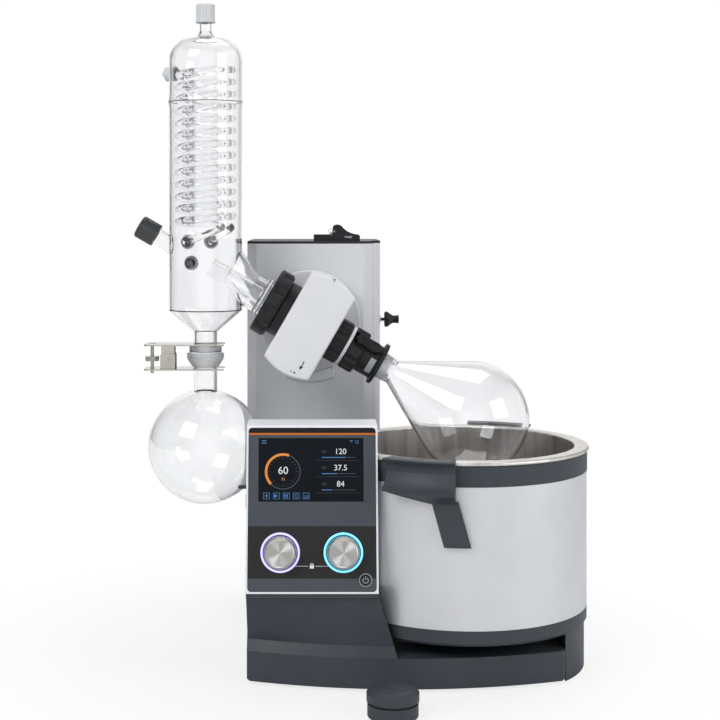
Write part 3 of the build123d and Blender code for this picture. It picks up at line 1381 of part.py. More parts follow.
with BuildPart() as clamp_jaw:
    with BuildSketch(level(CLAMP_UPPER_BOTTOM)):
        fork_plate(CLAMP_SCREW_RADIUS + CLAMP_SWING_PLAY)
    extrude(amount=CLAMP_SHEET)
    for y in (-CLAMP_CHEEK_Y + 2 * CLAMP_SHEET + 0.4, CLAMP_CHEEK_Y - CLAMP_SHEET - 0.4):
        clamp_cheek(
            y,
            CLAMP_PIN_Z - 6,
            CLAMP_UPPER_BOTTOM + CLAMP_SHEET,
            15,
            CLAMP_PIN_RADIUS + RUNNING_GAP,
        )
finish(clamp_jaw, "clamp_jaw")

with BuildPart() as clamp_wheel:
    disc(Plane(origin=(CLAMP_SCREW_X, 0, CLAMP_LOWER_TOP - 6)), CLAMP_SCREW_RADIUS, 34)
    with BuildSketch(level(CLAMP_WHEEL_BOTTOM)):
        with Locations((CLAMP_SCREW_X, 0)):
            Circle(CLAMP_WHEEL_RADIUS)
            with PolarLocations(CLAMP_WHEEL_RADIUS + 0.2, 20):
                Circle(0.7, mode=Mode.SUBTRACT)
    extrude(amount=CLAMP_WHEEL_TOP - CLAMP_WHEEL_BOTTOM)
finish(clamp_wheel, "clamp_wheel")

# Turning hub with its belt pulley, clamped on the vapour tube
HUB_LEFT = -26.0
HUB_RIGHT = 75.7
FLASK_NECK_START = HUB_RIGHT
PULLEY_TEETH = 40
with BuildPart() as rotor_hub:
    turn(
        DRIVE,
        DRIVE_AXIS,
        [
            (HUB_LEFT, VAPOUR_TUBE_RADIUS + RUNNING_GAP),
            (HUB_LEFT, HUB_RADIUS),
            (HUB_PULLEY_LEFT, HUB_RADIUS),
            (HUB_PULLEY_LEFT, HUB_PULLEY_RADIUS),
            (HUB_PULLEY_RIGHT, HUB_PULLEY_RADIUS),
            (HUB_PULLEY_RIGHT, HUB_RADIUS),
            (HUB_RIGHT - SLIDING_GAP, HUB_RADIUS),
            (HUB_RIGHT - SLIDING_GAP, VAPOUR_TUBE_RADIUS + RUNNING_GAP),
        ],
    )
    with BuildSketch(across(HUB_PULLEY_LEFT)):
        with PolarLocations(HUB_PULLEY_RADIUS + 0.2, PULLEY_TEETH):
            Circle(0.6)
    extrude(amount=HUB_PULLEY_RIGHT - HUB_PULLEY_LEFT, mode=Mode.SUBTRACT)
finish(rotor_hub, "rotor_hub")

with BuildPart() as vapour_tube:
    turn(
        DRIVE,
        DRIVE_AXIS,
        [
            (VAPOUR_TUBE_START, VAPOUR_TUBE_RADIUS - 1.8),
            (VAPOUR_TUBE_START, VAPOUR_TUBE_RADIUS),
            (VAPOUR_TUBE_END, VAPOUR_TUBE_RADIUS),
            (VAPOUR_TUBE_END, VAPOUR_TUBE_RADIUS - 1.8),
        ],
    )
finish(vapour_tube, "vapour_tube")

# Ribbed nut, pale ring and flask clip on the right end of the hub
NUT_RIBS = 12
CLIP_LOBES = 8
with BuildPart() as ribbed_nut:
    turn(
        DRIVE,
        DRIVE_AXIS,
        [
            (NUT_START, HUB_RADIUS + RUNNING_GAP),
            (NUT_START, NUT_RADIUS - 1.5),
            (NUT_START + 1.5, NUT_RADIUS),
            (NUT_END - 2, NUT_RADIUS),
            (NUT_END, NUT_RADIUS - 2),
            (NUT_END, HUB_RADIUS + RUNNING_GAP),
        ],
    )
    with BuildSketch(across(NUT_START + 1)):
        with PolarLocations(NUT_RADIUS + 3.4, NUT_RIBS):
            Circle(5)
    extrude(amount=NUT_END - NUT_START, mode=Mode.SUBTRACT)
finish(ribbed_nut, "ribbed_nut")

with BuildPart() as clip_ring:
    turn(
        DRIVE,
        DRIVE_AXIS,
        [
            (NUT_END, HUB_RADIUS + RUNNING_GAP),
            (NUT_END, RING_RADIUS),
            (RING_END, RING_RADIUS),
            (RING_END, HUB_RADIUS + RUNNING_GAP),
        ],
    )
finish(clip_ring, "clip_ring")

# The clip lever lies in a notch of the clip, on a flat turned towards the user
LEVER_TURN = 40.0
CLIP_LEVER_START = 54.0
CLIP_LEVER_END = 86.0
CLIP_LEVER_WIDTH = 13.0
CLIP_LEVER_FOOT = 20.4
CLIP_LEVER_CROWN = 26.4
CLIP_LEVER_PIVOT = 58.0
CLIP_LEVER_PIN_LEVEL = 23.4
CLIP_PLATE_TURN = -15.0
CLIP_PLATE_MIDDLE = 83.1
CLIP_PLATE_LENGTH = 7.3
CLIP_PLATE_WIDTH = 19.0


def clip_side(angle):
    """Plane through the rotation axis whose normal leans from the user's side by an angle."""
    outward = DRIVE.z_dir * cos(radians(angle)) + DRIVE.y_dir * sin(radians(angle))
    return Plane(origin=TILT_POINT, x_dir=ALONG, z_dir=outward)


LEVER_SIDE = clip_side(LEVER_TURN)
CLIP_PLATE_SIDE = clip_side(CLIP_PLATE_TURN)
with BuildPart() as clip_plate:
    turn(
        DRIVE,
        DRIVE_AXIS,
        [
            (CLIP_LOBE_END, CLIP_NECK_RADIUS - 1),
            (CLIP_LOBE_END, CLIP_NECK_RADIUS + 1.2),
            (CLIP_NECK_END, CLIP_NECK_RADIUS + 1.2),
            (CLIP_NECK_END, CLIP_NECK_RADIUS - 1),
        ],
    )
    with BuildSketch(CLIP_PLATE_SIDE):
        with Locations((CLIP_PLATE_MIDDLE, 0)):
            RectangleRounded(CLIP_PLATE_LENGTH, CLIP_PLATE_WIDTH, 1)
    extrude(amount=CLIP_FLANGE_RADIUS, mode=Mode.INTERSECT)

with BuildPart() as flask_clip:
    turn(
        DRIVE,
        DRIVE_AXIS,
        [
            (RING_END, HUB_RADIUS + RUNNING_GAP),
            (RING_END, CLIP_LOBE_RADIUS - 1.5),
            (RING_END + 1.5, CLIP_LOBE_RADIUS),
            (CLIP_LOBE_END - 1.5, CLIP_LOBE_RADIUS),
            (CLIP_LOBE_END, CLIP_LOBE_RADIUS - 1.5),
            (CLIP_LOBE_END, CLIP_NECK_RADIUS),
            (CLIP_NECK_END, CLIP_NECK_RADIUS),
            (CLIP_NECK_END, CLIP_FLANGE_RADIUS),
            (CLIP_FLANGE_END, CLIP_FLANGE_RADIUS),
            (CLIP_FLANGE_END, FLASK_NECK_RADIUS + SLIDING_GAP),
            (HUB_RIGHT - 1, FLASK_NECK_RADIUS + SLIDING_GAP),
            (HUB_RIGHT - 1, HUB_RADIUS + RUNNING_GAP),
        ],
    )
    with BuildSketch(across(RING_END + 2)):
        with PolarLocations(CLIP_LOBE_RADIUS + 4, CLIP_LOBES, start_angle=22.5):
            Circle(6)
    extrude(amount=CLIP_LOBE_END - RING_END, mode=Mode.SUBTRACT)
    with BuildSketch(LEVER_SIDE.offset(CLIP_NECK_RADIUS + 0.2)):
        with Locations(((CLIP_LEVER_START + CLIP_LOBE_END) / 2 - 1, 0)):
            Rectangle(CLIP_LOBE_END - CLIP_LEVER_START + 4, CLIP_LEVER_WIDTH + 1)
    extrude(amount=10, mode=Mode.SUBTRACT)
    with BuildSketch(LEVER_SIDE.offset(CLIP_NECK_RADIUS - 1.4)):
        with Locations((CLIP_LEVER_START + 2.5, 0)):
            Rectangle(7.5, CLIP_LEVER_WIDTH + 1)
    extrude(amount=10, mode=Mode.SUBTRACT)
    with BuildSketch(Plane(origin=LEVER_SIDE.origin, x_dir=ALONG, z_dir=LEVER_SIDE.y_dir)):
        with Locations((CLIP_LEVER_PIVOT, -CLIP_LEVER_PIN_LEVEL)):
            Circle(1.2 + RUNNING_GAP)
    extrude(amount=CLIP_LEVER_WIDTH / 2 + 2.5, both=True, mode=Mode.SUBTRACT)
    add(clip_plate.part)
finish(flask_clip, "flask_clip")

with BuildPart() as clip_lever:
    with BuildSketch(LEVER_SIDE.offset(CLIP_LEVER_FOOT)):
        with Locations(((CLIP_LEVER_START + CLIP_LEVER_END) / 2, 0)):
            SlotOverall(CLIP_LEVER_END - CLIP_LEVER_START, CLIP_LEVER_WIDTH)
    extrude(amount=CLIP_LEVER_CROWN - CLIP_LEVER_FOOT)
    fillet(clip_lever.faces().sort_by(Axis((0, 0, 0), LEVER_SIDE.z_dir))[-1].edges(), radius=1)
    with BuildSketch(LEVER_SIDE.offset(CLIP_LEVER_CROWN)):
        with Locations((CLIP_LEVER_START + 8.5, 0), (CLIP_LEVER_END - 8.5, 0)):
            Circle(4.2)
    extrude(amount=-0.7, mode=Mode.SUBTRACT)
    with BuildSketch(Plane(origin=LEVER_SIDE.origin, x_dir=ALONG, z_dir=LEVER_SIDE.y_dir)):
        with Locations((CLIP_LEVER_PIVOT, -CLIP_LEVER_PIN_LEVEL)):
            Circle(1.2)
    extrude(amount=CLIP_LEVER_WIDTH / 2 + 2, both=True)
finish(clip_lever, "clip_lever")


def flask_section(wall):
    """Half section of the pear-shaped evaporating flask, smaller by the wall for its hollow."""
    cone = radians(CONE_HALF_ANGLE)
    radius = FLASK_RADIUS - wall
    throat = FLASK_THROAT_RADIUS - wall
    tangent = (FLASK_CENTRE - radius * sin(cone), radius * cos(cone))
    with BuildSketch(DRIVE) as section:
        with BuildLine():
            neck = Polyline(
                (FLASK_NECK_START, 0),
                (FLASK_NECK_START, FLASK_NECK_RADIUS - wall),
                (tangent[0] - (tangent[1] - throat) / tan(cone), throat),
                tangent,
            )
            ThreePointArc(
                neck @ 1,
                (FLASK_CENTRE + radius * cos(cone), radius * sin(cone)),
                (FLASK_CENTRE + radius, 0),
            )
            Line((FLASK_CENTRE + radius, 0), (FLASK_NECK_START, 0))
        make_face()
    return section.sketch


with BuildPart() as evaporating_flask:
    revolve(flask_section(0), axis=DRIVE_AXIS)
    revolve(flask_section(GLASS_WALL), axis=DRIVE_AXIS, mode=Mode.SUBTRACT)
finish(evaporating_flask, "evaporating_flask")

# Bath base: a shallow ring with a saddle on the rail and a foot beside the base plate
BASE_THICKNESS = 5.0
SADDLE_CHEEK = 7.0
BATH_FOOT_LEFT = PLATE_RIGHT + 1.5
BATH_FOOT_GROUND = 0.2
with BuildPart() as bath_base:
    turn(
        BATH,
        BATH_AXIS,
        [
            (0, BATH_BASE_BOTTOM),
            (DRUM_RADIUS - 3, BATH_BASE_BOTTOM),
            (DRUM_RADIUS, BATH_BASE_BOTTOM + 3),
            (DRUM_RADIUS, DRUM_BOTTOM),
            (DRUM_RADIUS - 4, DRUM_BOTTOM),
            (DRUM_RADIUS - 4, BATH_BASE_BOTTOM + BASE_THICKNESS),
            (0, BATH_BASE_BOTTOM + BASE_THICKNESS),
        ],
    )
    with BuildSketch(level(RAIL_TOP + SLIDING_GAP)):
        with Locations(((SADDLE_LEFT + SADDLE_RIGHT) / 2, BATH_Y)):
            Rectangle(SADDLE_RIGHT - SADDLE_LEFT, 2 * (RAIL_HALF_WIDTH + SLIDING_GAP + SADDLE_CHEEK))
    extrude(amount=BATH_BASE_BOTTOM - RAIL_TOP - SLIDING_GAP)
    with BuildSketch(level(PLATE_TOP + SLIDING_GAP)):
        with Locations(((SADDLE_LEFT + SADDLE_RIGHT) / 2, BATH_Y)):
            Rectangle(SADDLE_RIGHT - SADDLE_LEFT, 2 * (RAIL_HALF_WIDTH + SLIDING_GAP + SADDLE_CHEEK))
            Rectangle(SADDLE_RIGHT - SADDLE_LEFT, 2 * (RAIL_HALF_WIDTH + SLIDING_GAP), mode=Mode.SUBTRACT)
    extrude(amount=RAIL_TOP - PLATE_TOP)
    with BuildSketch(level(BATH_FOOT_GROUND)):
        with Locations((BATH_X, BATH_Y)):
            Circle(DRUM_RADIUS - 3)
        with Locations((BATH_FOOT_LEFT + DRUM_RADIUS, BATH_Y)):
            Rectangle(2 * DRUM_RADIUS, 2 * DRUM_RADIUS, mode=Mode.INTERSECT)
    extrude(amount=BATH_BASE_BOTTOM - BATH_FOOT_GROUND)
finish(bath_base, "bath_base")

DRUM_WALL = 1.6
with BuildPart() as bath_drum:
    turn(
        BATH,
        BATH_AXIS,
        [
            (DRUM_RADIUS - DRUM_WALL, DRUM_BOTTOM),
            (DRUM_RADIUS, DRUM_BOTTOM),
            (DRUM_RADIUS, DRUM_TOP),
            (DRUM_RADIUS - DRUM_WALL, DRUM_TOP),
        ],
    )
finish(bath_drum, "bath_drum")

BAND_RADIUS = DRUM_RADIUS + 0.6
with BuildPart() as bath_band:
    turn(
        BATH,
        BATH_AXIS,
        [
            (DRUM_RADIUS - 5, DRUM_TOP),
            (BAND_RADIUS - 0.6, DRUM_TOP),
            (BAND_RADIUS, DRUM_TOP + 0.6),
            (BAND_RADIUS, BAND_TOP - 0.8),
            (BAND_RADIUS - 0.8, BAND_TOP),
            (DRUM_RADIUS - 5, BAND_TOP),
        ],
    )
finish(bath_band, "bath_band")

# Steel pot with a rolled rim and a rounded floor corner
POT_CORNER = 14.0
RIM_ROLL = 2.2


def pot_section(wall):
    """Half section of the pot below its rim, drawn smaller by the wall for its hollow."""
    radius = POT_RADIUS - wall
    floor = POT_FLOOR - POT_WALL + wall
    corner = POT_CORNER - wall
    with BuildSketch(BATH) as section:
        with BuildLine():
            floor_line = Line((0, floor), (radius - corner, floor))
            bend = TangentArc(floor_line @ 1, (radius, floor + corner), tangent=(1, 0))
            Polyline(bend @ 1, (radius, RIM_TOP), (0, RIM_TOP), (0, floor))
        make_face()
    return section.sketch


with BuildPart() as bath_pot:
    revolve(pot_section(0), axis=BATH_AXIS)
    with BuildSketch(BATH):
        with BuildLine():
            rim_top = Polyline(
                (POT_RADIUS - 1, BAND_TOP),
                (POT_RADIUS - 1, RIM_TOP),
                (RIM_RADIUS - RIM_ROLL, RIM_TOP),
            )
            roll = ThreePointArc(
                rim_top @ 1,
                (RIM_RADIUS, RIM_TOP - RIM_ROLL),
                (RIM_RADIUS - RIM_ROLL, RIM_TOP - 2 * RIM_ROLL),
            )
            Polyline(roll @ 1, (RIM_RADIUS - RIM_ROLL - 0.5, BAND_TOP), rim_top @ 0)
        make_face()
    revolve(axis=BATH_AXIS)
    revolve(pot_section(POT_WALL), axis=BATH_AXIS, mode=Mode.SUBTRACT)
    top_circles = bath_pot.edges().filter_by(GeomType.CIRCLE).group_by(Axis.Z)[-1]
    fillet(top_circles.sort_by(SortBy.RADIUS)[0], radius=1.5)
finish(bath_pot, "bath_pot")

with BuildPart() as bath_heater:
    turn(
        BATH,
        BATH_AXIS,
        [
            (45, POT_FLOOR - POT_WALL - 6),
            (POT_RADIUS - POT_CORNER - 4, POT_FLOOR - POT_WALL - 6),
            (POT_RADIUS - POT_CORNER - 4, POT_FLOOR - POT_WALL),
            (45, POT_FLOOR - POT_WALL),
        ],
    )
finish(bath_heater, "bath_heater")

# Bath handles: a grip with a scooped face below its lip, and a leg down the drum on its right
HANDLE_TOP = RIM_TOP + 2.5
HANDLE_BOTTOM = 198.0
HANDLE_SEAT = BAND_RADIUS + SLIDING_GAP
RIM_SEAT = RIM_RADIUS + SLIDING_GAP
HANDLE_SCOOP = HANDLE_RADIUS - 10.0
HANDLE_RIDGE = HANDLE_RADIUS + 1.0
HANDLE_LEG_RADIUS = 146.5
HANDLE_LEG_BOTTOM = 155.0
LEG_TOP_LEFT = 128.0
LEG_TOP_RIGHT = 156.0
LEG_SHIFT = 13.0
HANDLE_START = radians(-(HANDLE_ANGLE + HANDLE_SPAN / 2))
HANDLE_PLANE = Plane(
    origin=BATH.origin,
    x_dir=(cos(HANDLE_START), sin(HANDLE_START), 0),
    z_dir=(sin(HANDLE_START), -cos(HANDLE_START), 0),
)
with BuildPart() as front_handle:
    with BuildSketch(HANDLE_PLANE):
        with BuildLine():
            outline = Polyline(
                (RIM_SEAT, HANDLE_TOP),
                (HANDLE_RADIUS - 1.5, HANDLE_TOP),
                (HANDLE_RADIUS, HANDLE_TOP - 1.5),
            )
            scoop = ThreePointArc(
                outline @ 1,
                (HANDLE_SCOOP + 1.5, HANDLE_TOP - 9),
                (HANDLE_SCOOP, HANDLE_TOP - 14),
            )
            swell = ThreePointArc(
                scoop @ 1,
                (HANDLE_SCOOP + 4, HANDLE_TOP - 24),
                (HANDLE_RIDGE, HANDLE_TOP - 33),
            )
            Polyline(
                swell @ 1,
                (HANDLE_RIDGE - 1, HANDLE_TOP - 35.5),
                (HANDLE_SEAT + 3, HANDLE_BOTTOM),
                (HANDLE_SEAT, HANDLE_BOTTOM),
                (HANDLE_SEAT, BAND_TOP - 1),
                (RIM_SEAT, BAND_TOP - 0.5),
                outline @ 0,
            )
        make_face()
    revolve(axis=BATH_AXIS, revolution_arc=HANDLE_SPAN)
    with BuildSketch(Plane.XZ.offset(-BATH_Y)):
        with BuildLine():
            Polyline(
                (BATH_X - HANDLE_RADIUS, HANDLE_BOTTOM + 30),
                (LEG_TOP_LEFT + 2, HANDLE_BOTTOM + 1),
                (LEG_TOP_LEFT + 2, HANDLE_BOTTOM - 5),
                (BATH_X - HANDLE_RADIUS, HANDLE_BOTTOM - 5),
                close=True,
            )
        make_face()
    extrude(amount=HANDLE_RADIUS * 2, mode=Mode.SUBTRACT)

with BuildPart() as handle_leg:
    turn(
        BATH,
        BATH_AXIS,
        [
            (HANDLE_SEAT, HANDLE_LEG_BOTTOM),
            (HANDLE_LEG_RADIUS - 1.5, HANDLE_LEG_BOTTOM),
            (HANDLE_LEG_RADIUS, HANDLE_LEG_BOTTOM + 1.5),
            (HANDLE_LEG_RADIUS, HANDLE_BOTTOM + 4),
            (HANDLE_SEAT, HANDLE_BOTTOM + 4),
        ],
    )
    with BuildSketch(Plane.XZ.offset(-BATH_Y)):
        with BuildLine():
            Polyline(
                (LEG_TOP_LEFT, HANDLE_BOTTOM + 4),
                (LEG_TOP_RIGHT, HANDLE_BOTTOM + 4),
                (LEG_TOP_RIGHT + LEG_SHIFT, HANDLE_LEG_BOTTOM),
                (LEG_TOP_LEFT + LEG_SHIFT, HANDLE_LEG_BOTTOM),
                close=True,
            )
        make_face()
    extrude(amount=2 * HANDLE_RADIUS, mode=Mode.INTERSECT)

with BuildPart() as bath_handles:
    add(front_handle.part)
    add(handle_leg.part)
    add(bath_handles.part.rotate(BATH_AXIS, 180))
finish(bath_handles, "bath_handles")

# Loose puck: a base that stands on the bench and a cap with four finger hollows that turns on it
PUCK = Plane(origin=(PUCK_X, PUCK_Y, 0), x_dir=(1, 0, 0), z_dir=(0, -1, 0))
PUCK_AXIS = Axis((PUCK_X, PUCK_Y, 0), (0, 0, 1))
PUCK_PIN_RADIUS = 8.0
with BuildPart() as puck_base:
    turn(
        PUCK,
        PUCK_AXIS,
        [
            (0, 0),
            (PUCK_RADIUS - 1.5, 0),
            (PUCK_RADIUS - 0.8, 1.5),
            (PUCK_RADIUS - 0.8, PUCK_SPLIT),
            (PUCK_PIN_RADIUS, PUCK_SPLIT),
            (PUCK_PIN_RADIUS, PUCK_SPLIT + 8),
            (0, PUCK_SPLIT + 8),
        ],
    )
finish(puck_base, "puck_base")

with BuildPart() as puck_cap:
    turn(
        PUCK,
        PUCK_AXIS,
        [
            (PUCK_PIN_RADIUS + RUNNING_GAP, PUCK_SPLIT + SLIDING_GAP),
            (PUCK_RADIUS - 3, PUCK_SPLIT + SLIDING_GAP),
            (PUCK_RADIUS - 3, PUCK_SPLIT + 2),
            (PUCK_RADIUS, PUCK_SPLIT + 2.5),
            (PUCK_RADIUS, PUCK_TOP - 4),
            (PUCK_RADIUS - 3.5, PUCK_TOP - 0.6),
            (PUCK_RADIUS - 7, PUCK_TOP),
            (0, PUCK_TOP),
            (0, PUCK_SPLIT + 8 + SLIDING_GAP),
            (PUCK_PIN_RADIUS + RUNNING_GAP, PUCK_SPLIT + 8 + SLIDING_GAP),
        ],
    )
finish(puck_cap, "puck_cap")
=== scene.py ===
import json
from math import cos, pi, radians, sin

import bmesh
import bpy
from mathutils import Matrix, Vector


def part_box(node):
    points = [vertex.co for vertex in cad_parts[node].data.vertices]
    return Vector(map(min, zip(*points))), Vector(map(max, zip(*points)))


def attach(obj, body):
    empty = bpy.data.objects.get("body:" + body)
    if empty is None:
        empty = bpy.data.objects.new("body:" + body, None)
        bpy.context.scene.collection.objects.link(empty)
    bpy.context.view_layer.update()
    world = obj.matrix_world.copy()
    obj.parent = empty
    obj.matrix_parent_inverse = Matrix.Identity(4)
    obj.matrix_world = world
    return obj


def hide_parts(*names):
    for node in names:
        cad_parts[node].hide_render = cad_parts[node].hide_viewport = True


# Dressing of a rotary evaporator: glass, metal and plastic finishes, panel graphics and small marks
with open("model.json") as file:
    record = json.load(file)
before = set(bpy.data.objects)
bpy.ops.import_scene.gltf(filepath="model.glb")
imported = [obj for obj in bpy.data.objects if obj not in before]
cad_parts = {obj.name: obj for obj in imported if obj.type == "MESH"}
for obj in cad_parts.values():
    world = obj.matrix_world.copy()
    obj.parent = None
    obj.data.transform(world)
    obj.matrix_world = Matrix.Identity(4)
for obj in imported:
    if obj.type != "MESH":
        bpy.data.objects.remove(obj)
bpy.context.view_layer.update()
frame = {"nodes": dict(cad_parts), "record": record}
NODES = frame["nodes"]
MM = 0.001

# Frames that the marks are drawn in, worked out from the places in the CAD model
TILT_HEIGHT = 0.3746
SLOPE = radians(30)
ALONG = Vector((cos(SLOPE), 0, -sin(SLOPE)))
CONDENSER_X = -0.1201
PANEL_UP = Vector((0, 0.19224, 0.98135))
PANEL_OUT = Vector((0, -0.98135, 0.19224))


def basis(origin, right, up, out):
    """Matrix of a drawing plane from its origin and three directions."""
    matrix = Matrix.Identity(4)
    for column, direction in enumerate((right, up, out)):
        for row in range(3):
            matrix[row][column] = direction[row]
    matrix.translation = Vector(origin)
    return matrix


PANEL = basis((0, -0.165, 0.1045), Vector((1, 0, 0)), PANEL_UP, PANEL_OUT)
FACING = (Vector((1, 0, 0)), Vector((0, 0, 1)), Vector((0, -1, 0)))
HEAD_FACE = basis((0, -0.046, TILT_HEIGHT), *FACING)
CARRIAGE_FACE = basis((0, 0.075, 0), *FACING)
LEVER_FACE = basis((0, 0.084, 0), *FACING)


# Materials
class Nodes:
    """A material's node tree with short ways to add and join nodes."""

    def __init__(self, name):
        self.material = bpy.data.materials.new(name)
        self.material.use_nodes = True
        self.tree = self.material.node_tree
        self.shader = self.tree.nodes["Principled BSDF"]
        self.place = self.tree.nodes.new("ShaderNodeTexCoord").outputs["Object"]

    def add(self, kind, inputs=(), **settings):
        node = self.tree.nodes.new(kind)
        for key, value in settings.items():
            setattr(node, key, value)
        for socket, value in dict(inputs).items():
            if isinstance(value, bpy.types.NodeSocket):
                self.tree.links.new(value, node.inputs[socket])
            else:
                node.inputs[socket].default_value = value
        return node

    def noise(self, scale, detail=3.0, stretch=(1, 1, 1)):
        place = self.add("ShaderNodeMapping", {"Vector": self.place, "Scale": stretch}).outputs[0]
        noise = self.add("ShaderNodeTexNoise", {"Vector": place, "Scale": scale, "Detail": detail})
        return noise.outputs["Fac"]

    def spread(self, factor, low, high, start=0.35, end=0.65):
        node = self.add(
            "ShaderNodeMapRange",
            {"Value": factor, "From Min": start, "From Max": end, "To Min": low, "To Max": high},
        )
        return node.outputs[0]

    def feed(self, socket, value):
        self.tree.links.new(value, self.shader.inputs[socket])

    def bump(self, height, strength, distance, edge=0.0):
        inputs = {"Height": height, "Strength": strength, "Distance": distance}
        if edge:
            inputs["Normal"] = self.add("ShaderNodeBevel", {"Radius": edge}, samples=4).outputs[0]
        self.feed("Normal", self.add("ShaderNodeBump", inputs).outputs[0])


def rgba(colour):
    """Linear colour with alpha from 0 to 255 screen values."""
    return tuple(((v / 255 + 0.055) / 1.055) ** 2.4 if v > 10 else v / 255 / 12.92 for v in colour) + (1.0,)


def mix_two(nodes, socket_factor, first, second):
    """Mix two colours in RGBA mode through the mix node's colour sockets."""
    node = nodes.tree.nodes.new("ShaderNodeMix")
    node.data_type = "RGBA"
    nodes.tree.links.new(socket_factor, node.inputs[0])
    for index, value in ((6, first), (7, second)):
        if isinstance(value, bpy.types.NodeSocket):
            nodes.tree.links.new(value, node.inputs[index])
        else:
            node.inputs[index].default_value = value
    return node.outputs[2]


def surface(
    name,
    colour,
    metallic=0.0,
    roughness=0.5,
    rough_spread=0.05,
    tone=0.06,
    scale=40.0,
    stretch=(1, 1, 1),
    grain=900.0,
    grain_depth=0.00003,
    edge=0.0004,
    specular=0.5,
):
    """Opaque finish with slight tone and roughness drift, a fine grain and softened edges."""
    nodes = Nodes(name)
    base = rgba(colour)
    drift = nodes.noise(scale, 4.0, stretch)
    darker = tuple(v * (1 - tone) for v in base[:3]) + (1.0,)
    lighter = tuple(min(1.0, v * (1 + tone)) for v in base[:3]) + (1.0,)
    nodes.feed("Base Color", mix_two(nodes, nodes.spread(drift, 0.0, 1.0), darker, lighter))
    nodes.shader.inputs["Metallic"].default_value = metallic
    nodes.feed("Roughness", nodes.spread(drift, roughness - rough_spread, roughness + rough_spread))
    nodes.shader.inputs["Specular IOR Level"].default_value = specular
    nodes.bump(nodes.noise(grain, 2.0, stretch), 0.35, grain_depth, edge)
    return nodes.material


def glass(name, frosted=None, tint=(0.966, 0.969, 0.977), index=1.47):
    """Clear laboratory glass, frosted where a position test says so."""
    nodes = Nodes(name)
    nodes.shader.inputs["Transmission Weight"].default_value = 1.0
    nodes.shader.inputs["IOR"].default_value = index
    if frosted:
        direction, bands, softness = frosted
        along = nodes.add(
            "ShaderNodeVectorMath", {0: nodes.place, 1: direction}, operation="DOT_PRODUCT"
        ).outputs["Value"]
        share = None
        for low, high in bands:
            rise = nodes.spread(along, 0.0, 1.0, low - softness, low + softness)
            fall = nodes.spread(along, 1.0, 0.0, high - softness, high + softness)
            band = nodes.add("ShaderNodeMath", {0: rise, 1: fall}, operation="MULTIPLY").outputs[0]
            if share is None:
                share = band
            else:
                share = nodes.add("ShaderNodeMath", {0: share, 1: band}, operation="ADD").outputs[0]
        nodes.feed("Roughness", nodes.spread(share, 0.0, 0.55, 0.0, 1.0))
        nodes.feed("Base Color", mix_two(nodes, share, tint + (1.0,), (0.9, 0.91, 0.92, 1.0)))
    else:
        nodes.shader.inputs["Roughness"].default_value = 0.0
        nodes.shader.inputs["Base Color"].default_value = tint + (1.0,)
    nodes.bump(nodes.noise(18.0, 2.0), 0.12, 0.0008)
    return nodes.material


materials = {
    "plastic_dark": surface(
        "plastic_dark", (56, 61, 67), roughness=0.46, grain=1400, grain_depth=0.00002, specular=0.35
    ),
    "plastic_black": surface("plastic_black", (26, 27, 29), roughness=0.42, grain=1600, specular=0.3),
    "shell_white": surface("shell_white", (226, 228, 231), roughness=0.4, tone=0.015, edge=0.0006),
    "drive_white": surface("drive_white", (218, 218, 220), roughness=0.36, tone=0.012, edge=0.0008),
    "tower_silver": surface(
        "tower_silver",
        (214, 215, 218),
        metallic=0.12,
        roughness=0.38,
        tone=0.02,
        stretch=(1, 1, 0.08),
        grain=2200,
    ),
    "drum_silver": surface(
        "drum_silver",
        (212, 213, 215),
        metallic=0.55,
        roughness=0.42,
        tone=0.02,
        grain=2600,
        grain_depth=0.00002,
    ),
    "steel": surface("steel", (190, 190, 192), metallic=1.0, roughness=0.28, stretch=(1, 1, 0.1)),
    "clamp_steel": surface("clamp_steel", (196, 192, 184), metallic=1.0, roughness=0.2, tone=0.08),
    "cast_metal": surface("cast_metal", (150, 151, 153), metallic=0.9, roughness=0.5, grain=500),
    "rubber": surface("rubber", (30, 30, 31), roughness=0.75),
    "belt": surface("belt", (32, 32, 33), roughness=0.7),
    "seal": surface("seal", (48, 48, 50), roughness=0.55),
    "pale_ring": surface("pale_ring", (226, 228, 230), roughness=0.35, tone=0.02),
    "cap_grey": surface("cap_grey", (205, 207, 209), roughness=0.42, tone=0.03),
    "cap_dark": surface("cap_dark", (52, 54, 56), roughness=0.4),
    "display": surface(
        "display",
        (12, 17, 23),
        roughness=0.16,
        rough_spread=0.01,
        tone=0.2,
        grain_depth=0.000002,
        specular=0.1,
    ),
}

# Pot: satin steel, drawn up its wall
pot = Nodes("pot_steel")
ripple = pot.noise(90.0, 5.0, (1, 1, 0.05))
drawn = mix_two(pot, pot.spread(ripple, 0.0, 1.0), rgba((202, 198, 193)), rgba((226, 223, 219)))
pot.feed("Base Color", drawn)
pot.shader.inputs["Metallic"].default_value = 1.0
pot.feed("Roughness", pot.spread(ripple, 0.3, 0.42))
pot.bump(pot.noise(900.0, 2.0, (1, 1, 0.04)), 0.2, 0.00003, 0.0004)
materials["pot_steel"] = pot.material


